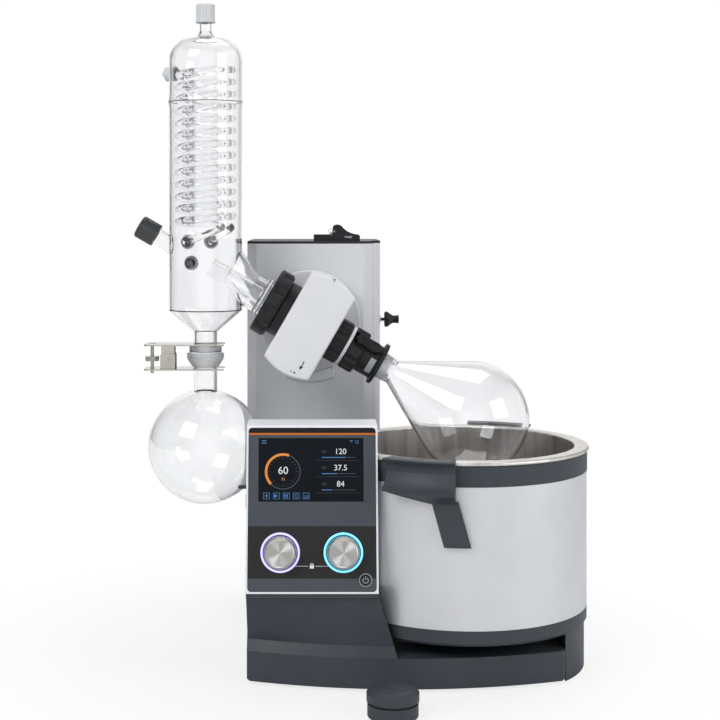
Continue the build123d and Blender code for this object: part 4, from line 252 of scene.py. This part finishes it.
def turned_steel(name, node):
    """Steel turned in fine circles about the axis of one knob."""
    low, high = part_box(node)
    centre = (Vector(low) + Vector(high)) / 2
    nodes = Nodes(name)
    arm = nodes.add("ShaderNodeVectorMath", {0: nodes.place, 1: centre}, operation="SUBTRACT").outputs[0]
    across = nodes.add("ShaderNodeVectorMath", {0: arm, 1: PANEL_OUT}, operation="CROSS_PRODUCT").outputs[0]
    around = nodes.add("ShaderNodeVectorMath", {0: across}, operation="NORMALIZE").outputs[0]
    reach = nodes.add("ShaderNodeVectorMath", {0: across}, operation="LENGTH").outputs["Value"]
    grooves = nodes.add(
        "ShaderNodeTexNoise", {"W": reach, "Scale": 2600.0, "Detail": 3.0}, noise_dimensions="1D"
    ).outputs["Fac"]
    base = mix_two(nodes, nodes.spread(grooves, 0.0, 1.0), rgba((186, 185, 182)), rgba((212, 211, 208)))
    nodes.feed("Base Color", base)
    nodes.shader.inputs["Metallic"].default_value = 1.0
    nodes.feed("Roughness", nodes.spread(grooves, 0.42, 0.5))
    nodes.shader.inputs["Anisotropic"].default_value = 0.95
    nodes.feed("Tangent", around)
    nodes.bump(grooves, 0.1, 0.00001, 0.0003)
    return nodes.material


# Panel front: dark header, orange line, grey field, darker knob band
PANEL_BANDS = [
    (0.0, (76, 79, 84)),
    (15.1, (44, 44, 44)),
    (69.1, (74, 78, 84)),
    (164.2, (196, 104, 40)),
    (166.5, (26, 26, 28)),
]
PANEL_LENGTH = 174.25
front = Nodes("panel_glass")
height = front.add(
    "ShaderNodeVectorMath", {0: front.place, 1: PANEL_UP}, operation="DOT_PRODUCT"
).outputs["Value"]
bottom = PANEL.translation.dot(PANEL_UP)
ramp = front.add(
    "ShaderNodeValToRGB", {"Fac": front.spread(height, 0.0, 1.0, bottom, bottom + PANEL_LENGTH * MM)}
)
ramp.color_ramp.interpolation = "CONSTANT"
for index, (level, colour) in enumerate(PANEL_BANDS):
    stop = ramp.color_ramp.elements[0] if index == 0 else ramp.color_ramp.elements.new(level / PANEL_LENGTH)
    stop.position = level / PANEL_LENGTH
    stop.color = rgba(colour)
ramp.color_ramp.elements.remove(ramp.color_ramp.elements[-1])
front.feed("Base Color", ramp.outputs["Color"])
front.feed("Roughness", front.spread(front.noise(60.0), 0.3, 0.33))
front.shader.inputs["Specular IOR Level"].default_value = 0.15
front.bump(front.noise(1200.0), 0.05, 0.000004, 0.0003)
materials["panel_glass"] = front.material

# Light rings: the left one glows violet white, the right one cyan
ring = Nodes("ring_light")
side = ring.add("ShaderNodeSeparateXYZ", {0: ring.place}).outputs["X"]
glow = mix_two(ring, ring.spread(side, 0.0, 1.0, 0.0, 0.001), rgba((186, 180, 246)), rgba((120, 214, 250)))
speckle = ring.spread(ring.noise(120.0), 0.85, 1.0)
ring.feed("Base Color", glow)
ring.feed("Emission Color", glow)
ring.feed("Emission Strength", speckle)
ring.shader.inputs["Roughness"].default_value = 0.3
materials["ring_light"] = ring.material

materials["glass_clear"] = glass("glass_clear")
FLASK_AXIS_START = ALONG.dot(Vector((0, 0, TILT_HEIGHT)))
flask_glass = glass(
    "glass_flask", (ALONG, [(FLASK_AXIS_START + 0.0757, FLASK_AXIS_START + 0.1040)], 0.0015)
)
receiver_glass = glass("glass_receiver", (Vector((0, 0, 1)), [(0.3262, 0.3415)], 0.0006))
condenser_glass = glass("glass_condenser", (Vector((0, 0, 1)), [(0.3430, 0.3506)], 0.0006))

SLOT_OF = {row["node"]: row["material_slot"] for row in frame["record"]["subparts"]}
OWN = {
    "evaporating_flask": flask_glass,
    "receiving_flask": receiver_glass,
    "condenser": condenser_glass,
    "feed_cap": materials["cap_dark"],
    "left_knob": turned_steel("knob_steel_left", "left_knob"),
    "right_knob": turned_steel("knob_steel_right", "right_knob"),
}
for node, obj in NODES.items():
    obj.data.materials.clear()
    obj.data.materials.append(OWN[node] if node in OWN else materials[SLOT_OF[node]])


# Flat marks and graphics: thin slabs drawn in a plane
def slab(name, outlines, matrix, material, body, lift=0.02, thick=0.06):
    """Thin raised shapes from outlines in millimetres, all of one material."""
    mesh = bmesh.new()
    for outline in outlines:
        rings = []
        for level in (lift, lift + thick):
            rings.append([mesh.verts.new(matrix @ (Vector((x, y, level)) * MM)) for x, y in outline])
        mesh.faces.new(rings[1])
        mesh.faces.new(rings[0][::-1])
        count = len(outline)
        for i in range(count):
            j = (i + 1) % count
            mesh.faces.new((rings[0][i], rings[0][j], rings[1][j], rings[1][i]))
    bmesh.ops.recalc_face_normals(mesh, faces=mesh.faces)
    data = bpy.data.meshes.new(name)
    mesh.to_mesh(data)
    mesh.free()
    obj = bpy.data.objects.new(name, data)
    bpy.context.scene.collection.objects.link(obj)
    data.materials.append(material)
    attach(obj, body)
    return obj


def box(left, bottom, right, top):
    return [(left, bottom), (right, bottom), (right, top), (left, top)]


def arc(x, y, inner, outer, start, end, steps=28):
    """Outlines of a curved stroke, cut in short four-sided pieces."""
    pieces = []
    for i in range(steps):
        first = radians(start + (end - start) * i / steps)
        second = radians(start + (end - start) * (i + 1) / steps)
        pieces.append(
            [
                (x + inner * cos(first), y + inner * sin(first)),
                (x + outer * cos(first), y + outer * sin(first)),
                (x + outer * cos(second), y + outer * sin(second)),
                (x + inner * cos(second), y + inner * sin(second)),
            ]
        )
    return pieces


def glowing(name, colour, strength):
    """Lit display colour with a slight pixel grain."""
    nodes = Nodes(name)
    nodes.shader.inputs["Base Color"].default_value = rgba(tuple(v * 0.4 for v in colour))
    nodes.shader.inputs["Emission Color"].default_value = rgba(colour)
    nodes.feed("Emission Strength", nodes.spread(nodes.noise(2500.0), strength * 0.9, strength * 1.05))
    nodes.shader.inputs["Roughness"].default_value = 0.4
    return nodes.material


white_ink = surface("ink_white", (226, 228, 230), roughness=0.5, tone=0.02, edge=0.0)
grey_ink = surface("ink_grey", (150, 153, 157), roughness=0.5, tone=0.03, edge=0.0)
dark_ink = surface("ink_dark", (40, 42, 45), roughness=0.5, tone=0.05, edge=0.0)
lit_white = glowing("lit_white", (226, 232, 236), 0.85)
lit_blue = glowing("lit_blue", (70, 130, 190), 0.8)
lit_amber = glowing("lit_amber", (232, 142, 44), 0.8)
lit_dim = glowing("lit_dim", (58, 70, 82), 0.6)

# Display: a generic screen with a dial, three readings and a row of keys, all of its own layout
SCREEN_LIFT = 0.03
DIAL = (-27.0, 126.0)


def figures(name, text, x, up, size, matrix, material, body, lift=SCREEN_LIFT):
    """Plain numbers as thin raised shapes, centred on a point of a drawing plane."""
    curve = bpy.data.curves.new(name + "_text", "FONT")
    curve.body = text
    curve.size = size * MM
    curve.align_x = "CENTER"
    curve.align_y = "CENTER"
    curve.extrude = 0.02 * MM
    holder = bpy.data.objects.new(name + "_holder", curve)
    bpy.context.scene.collection.objects.link(holder)
    bpy.context.view_layer.update()
    data = bpy.data.meshes.new_from_object(holder.evaluated_get(bpy.context.evaluated_depsgraph_get()))
    bpy.data.objects.remove(holder)
    data.transform(matrix @ Matrix.Translation(Vector((x, up, lift)) * MM))
    data.materials.clear()
    data.materials.append(material)
    obj = bpy.data.objects.new(name, data)
    bpy.context.scene.collection.objects.link(obj)
    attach(obj, body)
    return obj


slab("screen_dial_track", arc(*DIAL, 17.6, 18.6, 0, 360, 48), PANEL, lit_dim, "base", SCREEN_LIFT)
slab("screen_dial_value", arc(*DIAL, 16.8, 19.4, 70, 225, 36), PANEL, lit_amber, "base", 0.1)
ticks = []
for step in range(24):
    angle = 2 * pi * step / 24
    reach = 14.2 if step % 3 else 13.0
    for_along = Vector((cos(angle), sin(angle)))
    for_side = Vector((-sin(angle), cos(angle))) * 0.22
    corners = ((reach, -1), (15.6, -1), (15.6, 1), (reach, 1))
    ticks.append([tuple(Vector(DIAL) + for_along * r + for_side * s) for r, s in corners])
slab("screen_dial_ticks", ticks, PANEL, lit_dim, "base", SCREEN_LIFT)
figures("screen_dial_figure", "60", DIAL[0], DIAL[1] + 1, 11.0, PANEL, lit_white, "base")
figures("screen_dial_target", "75", DIAL[0], DIAL[1] - 8, 4.0, PANEL, lit_amber, "base")
READINGS = [("120", 147.0, 0.7), ("37.5", 130.0, 0.45), ("84", 113.0, 0.3)]
bars, tracks, rules = [], [], []
for index, (reading, up, share) in enumerate(READINGS):
    figures(f"screen_reading_{index}", reading, 34.0, up, 8.4, PANEL, lit_white, "base")
    tracks.append(box(14, up - 6.3, 50, up - 5.7))
    bars.append(box(14, up - 6.4, 14 + 36 * share, up - 5.6))
    rules.append(box(8.0, up - 9.2, 54, up - 8.95))
    for row in (0, 1.6):
        rules.append(box(14, up + 0.6 - row, 19, up + 1.2 - row))
slab("screen_tracks", tracks + rules, PANEL, lit_dim, "base", SCREEN_LIFT)
slab("screen_bars", bars, PANEL, lit_blue, "base", 0.1)
keys = []
for index in range(5):
    x = -48 + 10.5 * index
    keys += [box(x, 97.5, x + 7, 97.9), box(x, 103.6, x + 7, 104), box(x, 97.9, x + 0.4, 103.6)]
    keys.append(box(x + 6.6, 97.9, x + 7, 103.6))
keys += [box(-46.6, 100.4, -42.4, 101.1), box(-44.8, 98.7, -44.2, 102.8)]
keys += [[(-36.2, 98.9), (-32.2, 100.75), (-36.2, 102.6)]]
keys += [box(-26, 98.9, -24.8, 102.6), box(-23.4, 98.9, -22.2, 102.6)]
keys += arc(-13.0, 100.75, 1.5, 2.0, 0, 360, 20) + [box(-4.4, 99, 0.2, 99.5), box(-4.4, 100.5, 0.2, 101)]
keys += [box(-50, 155.4, -45, 155.9), box(-50, 157, -45, 157.5), box(-50, 158.6, -45, 159.1)]
keys += arc(51.5, 157.2, 1.5, 1.9, 0, 360, 20)
keys += arc(45.5, 156.2, 2.4, 2.9, 45, 135, 8) + arc(45.5, 156.2, 1.1, 1.6, 45, 135, 6)
slab("screen_keys", keys, PANEL, lit_blue, "base", SCREEN_LIFT)

# Panel print: lock sign between two lines, painted shade as a dark ring inside each light ring where the gap
# to the knob lies, power sign
lock = [box(-14.5, 28.1, -0.2, 28.5), box(7.4, 28.1, 20.8, 28.5), box(1.5, 25.9, 5.7, 29.6)]
lock += arc(3.6, 29.6, 1.25, 1.85, 0, 180, 12)
slab("lock_sign", lock, PANEL, white_ink, "base")
KNOB_X = (-29.7, 36.7)
KNOB_UP = 42.2
# Painted shade: a dark ink ring laid over each light ring where the gap between knob and ring is shaded
painted_gap_shade = []
for centre_x in KNOB_X:
    painted_gap_shade += arc(centre_x, KNOB_UP, 17.35, 18.5, 0, 360, 64)
slab("ring_gap_painted_shade", painted_gap_shade, PANEL, dark_ink, "base", 0.62)
for side, centre_x in zip(("left", "right"), KNOB_X):
    chord = [(centre_x + 14.6 * cos(radians(a)), KNOB_UP + 14.6 * sin(radians(a))) for a in range(66, 115, 4)]
    chord += [(centre_x - 5.6, KNOB_UP + 12.2), (centre_x + 5.6, KNOB_UP + 12.2)]
    finish = materials["clamp_steel"]
    slab(f"{side}_knob_mark", [chord[::-1]], PANEL, finish, f"{side}_dial", 13.66, 0.2)
power = arc(59.9, 14.1, 6.1, 6.9, 0, 360, 40) + arc(59.9, 13.9, 2.4, 3.2, 125, 415, 26)
power.append(box(59.5, 14.4, 60.3, 18.0))
slab("power_sign", power, PANEL, grey_ink, "power", 0.56)

# Marks on the head, the carriage and the top lever
HEAD_MARKS = {
    "head_tick": [[(27.2, 50.6), (27.7, 50.4), (30.2, 53.6), (26.6, 53.9), (26.8, 53.2), (28.6, 52.9)]],
    "head_arrow": [
        [(-6.4, -38.6), (-5.2, -39.1), (-7.7, -44.4), (-8.9, -43.9)],
        [(-10.9, -43.4), (-6.5, -45.2), (-11.1, -48.3)],
    ],
    "head_foot_mark": [
        [(-17.6, -50.2), (-15.4, -51.0), (-15.9, -52.6), (-18.1, -51.8)],
        [(-21.4, -48.6), (-19.9, -49.2), (-19.2, -50.8), (-20.2, -50.6)],
    ],
}
for mark, outlines in HEAD_MARKS.items():
    slab(mark, outlines, HEAD_FACE, dark_ink, "head")
slab("index_bar", [box(26.9, 305.2, 29.9, 320.6)], CARRIAGE_FACE, white_ink, "lift", 0.1, 4.6)
lever = arc(25.5, 480.5, 2.9, 3.5, 30, 200, 16) + [[(27.5, 480.2), (30.1, 482.4), (30.6, 479.4)]]
lever += [[(23.4, 478.8), (25.0, 480.4), (27.2, 478.4), (26.2, 476.6), (24.2, 476.9)]]
lever += [box(42.0, 473.1, 48.4, 474.9), [(48.4, 471.8), (51.4, 474.0), (48.4, 476.2)]]
slab("lever_sign", lever, LEVER_FACE, grey_ink, "release")


def tube(name, points, radius, hollow, material, body, sides=14):
    """Tube along a smooth row of points, with an inner wall where it is hollow."""
    mesh = bmesh.new()
    for wall, outward in ((radius, True), (hollow, False)):
        if not wall:
            continue
        rings = []
        side = None
        for index, point in enumerate(points):
            ahead = points[min(index + 1, len(points) - 1)] - points[max(index - 1, 0)]
            ahead.normalize()
            if side is None:
                side = ahead.orthogonal().normalized()
            side = (side - ahead * side.dot(ahead)).normalized()
            other = ahead.cross(side)
            ring = []
            for corner in range(sides):
                turn = 2 * pi * corner / sides
                ring.append(mesh.verts.new(point + (side * cos(turn) + other * sin(turn)) * wall))
            rings.append(ring)
        for near, far in zip(rings, rings[1:]):
            for corner in range(sides):
                after = (corner + 1) % sides
                face = (near[corner], near[after], far[after], far[corner])
                mesh.faces.new(face if outward else face[::-1])
        mesh.faces.new(rings[0][::-1] if outward else rings[0])
        mesh.faces.new(rings[-1] if outward else rings[-1][::-1])
    data = bpy.data.meshes.new(name)
    mesh.to_mesh(data)
    mesh.free()
    for face in data.polygons:
        face.use_smooth = len(face.vertices) == 4
    obj = bpy.data.objects.new(name, data)
    bpy.context.scene.collection.objects.link(obj)
    data.materials.append(material)
    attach(obj, body)
    return obj


# Cooling coil: one water-filled glass tube that climbs as the outer helix and comes down as the inner one
COIL_BOTTOM, COIL_TOP, COIL_PITCH = 0.486, 0.668, 0.014
COIL_STEPS = 32
TURNS = (COIL_TOP - COIL_BOTTOM) / COIL_PITCH


def on_helix(radius, turn):
    angle = 2 * pi * turn
    return Vector((CONDENSER_X + radius * cos(angle), radius * sin(angle), COIL_BOTTOM + COIL_PITCH * turn))


def bend(start, leave, arrive, end, steps=10):
    """Points of a smooth bend that leaves and arrives in given directions."""
    points = []
    for step in range(1, steps):
        t = step / steps
        points.append(
            start * (1 - t) ** 3
            + (start + leave) * 3 * t * (1 - t) ** 2
            + (end - arrive) * 3 * t**2 * (1 - t)
            + end * t**3
        )
    return points


def helix_run(radius, first, last):
    steps = int(abs(last - first) * COIL_STEPS)
    return [on_helix(radius, first + (last - first) * step / steps) for step in range(steps + 1)]


OUTER, INNER, START = 0.031, 0.0196, 0.06
ports = [Vector((-0.1169, 0.0392, 0.4694)), Vector((-0.1462, 0.0297, 0.4688))]
outer_run = helix_run(OUTER, START, TURNS)
inner_run = helix_run(INNER, TURNS, START)
way = [ports[0]]
way += bend(ports[0], Vector((0, -0.014, 0.002)), Vector((-0.005, 0.012, 0.001)), outer_run[0])
way += outer_run
way += bend(outer_run[-1], Vector((0, 0.009, 0.001)), Vector((0, -0.009, -0.001)), inner_run[0])
way += inner_run
way += bend(inner_run[-1], Vector((0.004, -0.010, -0.001)), Vector((-0.006, 0.014, -0.002)), ports[1])
way.append(ports[1])
COIL_TUBE = 0.0042
WATER_INDEX = 1.33
filled = glass("glass_coil", tint=(0.985, 0.987, 0.99), index=WATER_INDEX)
coil = tube("coil_glass", way, COIL_TUBE, 0, filled, "head")
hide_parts("cooling_coil")



def circle_points(centre, right, up, radius, steps=48):
    angles = [2 * pi * step / steps for step in range(steps + 1)]
    return [centre + (right * cos(angle) + up * sin(angle)) * radius for angle in angles]


# Thread rings of the glass arm beside the union nut
LIFTED = Vector((ALONG.z, 0, -ALONG.x))
SIDEWAYS = Vector((0, 1, 0))
ARM_RING_RADIUS = 0.0222
ARM_RINGS = ((-0.0612, 0.0014, materials["pale_ring"]), (-0.0652, 0.0011, materials["steel"]))
for index, (place, radius, finish) in enumerate(ARM_RINGS):
    centre = Vector((0, 0, TILT_HEIGHT)) + ALONG * place
    circle = circle_points(centre, LIFTED, SIDEWAYS, ARM_RING_RADIUS)
    tube(f"arm_ring_{index}", circle, radius, 0, finish, "head", 10)

# Dark seam where the dome is melted onto the jacket
SEAM_HEIGHT = 0.6306
JACKET_RADIUS = 0.042
seam = circle_points(Vector((CONDENSER_X, 0, SEAM_HEIGHT)), Vector((1, 0, 0)), SIDEWAYS, JACKET_RADIUS, 96)
tube("jacket_seam", seam, 0.0005, 0, grey_ink, "head", 8)

# Light plate let into the flask clip
plate = bmesh.new()
rows = []
for reach in (0.02115, 0.0215):
    for place in (0.0797, 0.0866):
        row = []
        for step in range(13):
            angle = radians(-15 - 25.5 + 51 * step / 12)
            outward = Vector((0, -1, 0)) * cos(angle) + Vector((sin(SLOPE), 0, cos(SLOPE))) * sin(angle)
            row.append(plate.verts.new(Vector((0, 0, TILT_HEIGHT)) + ALONG * place + outward * reach))
        rows.append(row)
for first, second in ((0, 1), (1, 3), (3, 2), (2, 0)):
    for step in range(12):
        near = (rows[first][step], rows[first][step + 1])
        far = (rows[second][step + 1], rows[second][step])
        plate.faces.new(near + far)
for step in (0, 12):
    plate.faces.new((rows[0][step], rows[1][step], rows[3][step], rows[2][step]))
bmesh.ops.recalc_face_normals(plate, faces=plate.faces)
data = bpy.data.meshes.new("clip_label_plate")
plate.to_mesh(data)
plate.free()
data.materials.append(grey_ink)
label = bpy.data.objects.new("clip_label_plate", data)
bpy.context.scene.collection.objects.link(label)
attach(label, "rotor")

# Camera at the photograph's place
camera = bpy.data.objects.new("camera", bpy.data.cameras.new("camera"))
camera.data.lens = 74.5
camera.data.sensor_width = 36.0
camera.data.shift_x = 0.0556
camera.data.shift_y = -0.2014
camera.location = (0.0121, -1.722, 0.5006)
camera.rotation_euler = (radians(90), 0, 0)
bpy.context.scene.collection.objects.link(camera)
bpy.context.scene.camera = camera

# Lamps: a broad key from the upper left, a fill from the right and a strip from behind
for name, place, aim, size, power in (
    ("key", (-1.3, -1.5, 1.7), (0, 0, 0.3), 1.2, 26.0),
    ("fill", (1.7, -1.1, 1.0), (0.1, 0, 0.3), 1.2, 12.0),
    ("top", (0.2, 0.5, 2.2), (0, 0, 0.3), 1.4, 16.0),
):
    light = bpy.data.lights.new(name, "AREA")
    light.energy = power
    light.size = size
    lamp = bpy.data.objects.new(name, light)
    lamp.location = place
    lamp.rotation_euler = (Vector(aim) - Vector(place)).to_track_quat("-Z", "Y").to_euler()
    bpy.context.scene.collection.objects.link(lamp)

# World: even grey light, white behind the object, darker bands at the sides and overhead for glass and metal
world = bpy.data.worlds.new("studio")
bpy.context.scene.world = world
world.use_nodes = True
tree = world.node_tree
tree.nodes.clear()


def world_node(kind, inputs=(), **settings):
    node = tree.nodes.new(kind)
    for key, value in settings.items():
        setattr(node, key, value)
    for socket, value in dict(inputs).items():
        if isinstance(value, bpy.types.NodeSocket):
            tree.links.new(value, node.inputs[socket])
        else:
            node.inputs[socket].default_value = value
    return node


direction = world_node("ShaderNodeTexCoord").outputs["Generated"]
split = world_node("ShaderNodeSeparateXYZ", {0: direction})
sideways = world_node(
    "ShaderNodeMapRange", {"Value": split.outputs["X"], "From Min": -1.0, "From Max": 1.0}
).outputs[0]
bands = world_node("ShaderNodeValToRGB", {"Fac": sideways})
stops = bands.color_ramp.elements
stops[0].position = 0.0
stops[0].color = (0.3, 0.31, 0.33, 1)
stops[1].position = 1.0
stops[1].color = (1, 1, 1, 1)
for place, tone in ((0.19, 0.14), (0.34, 1.0), (0.66, 1.0), (0.8, 0.14), (0.9, 0.9)):
    stops.new(place).color = (tone, tone, tone, 1)
overhead = world_node(
    "ShaderNodeMapRange",
    {"Value": split.outputs["Z"], "From Min": 0.45, "From Max": 0.8, "To Min": 1.0, "To Max": 0.25},
).outputs[0]
rays = world_node("ShaderNodeLightPath")
seen = world_node(
    "ShaderNodeMath",
    {0: rays.outputs["Is Glossy Ray"], 1: rays.outputs["Is Transmission Ray"]},
    operation="MAXIMUM",
).outputs[0]
even = world_node("ShaderNodeBackground", {"Color": (0.62, 0.64, 0.66, 1), "Strength": 0.75})
banded = world_node("ShaderNodeBackground", {"Color": bands.outputs["Color"], "Strength": overhead})
white = world_node("ShaderNodeBackground", {"Color": (1, 1, 1, 1), "Strength": 1.0})
first = world_node("ShaderNodeMixShader", {0: seen, 1: even.outputs[0], 2: banded.outputs[0]})
second = world_node(
    "ShaderNodeMixShader", {0: rays.outputs["Is Camera Ray"], 1: first.outputs[0], 2: white.outputs[0]}
)
world_node("ShaderNodeOutputWorld", {"Surface": second.outputs[0]})

# Floor: pale, white to the camera away from the object, so that only the soft shadow shows
FLOOR_HALF = 3.0
mesh = bmesh.new()
bmesh.ops.create_grid(mesh, x_segments=8, y_segments=8, size=FLOOR_HALF)
data = bpy.data.meshes.new("floor")
mesh.to_mesh(data)
mesh.free()
floor = bpy.data.objects.new("floor", data)
bpy.context.scene.collection.objects.link(floor)
ground = Nodes("floor")
ground.shader.inputs["Base Color"].default_value = (0.82, 0.82, 0.82, 1)
ground.shader.inputs["Roughness"].default_value = 0.6
distance = ground.add("ShaderNodeVectorMath", {0: ground.place}, operation="LENGTH").outputs["Value"]
fade = ground.spread(distance, 0.78, 1.0, 0.25, 0.5)
paths = ground.add("ShaderNodeLightPath")
through = ground.add(
    "ShaderNodeMath",
    {0: paths.outputs["Is Camera Ray"], 1: paths.outputs["Is Transmission Ray"]},
    operation="MAXIMUM",
).outputs[0]
share = ground.add("ShaderNodeMath", {0: fade, 1: through}, operation="MULTIPLY").outputs[0]
shine = ground.add("ShaderNodeEmission", {"Color": (1, 1, 1, 1), "Strength": 1.0})
both = ground.add("ShaderNodeMixShader", {0: share, 1: ground.shader.outputs[0], 2: shine.outputs[0]})
output = ground.tree.nodes["Material Output"]
ground.tree.links.new(both.outputs[0], output.inputs["Surface"])
data.materials.append(ground.material)

bpy.context.scene.view_settings.view_transform = "Standard"
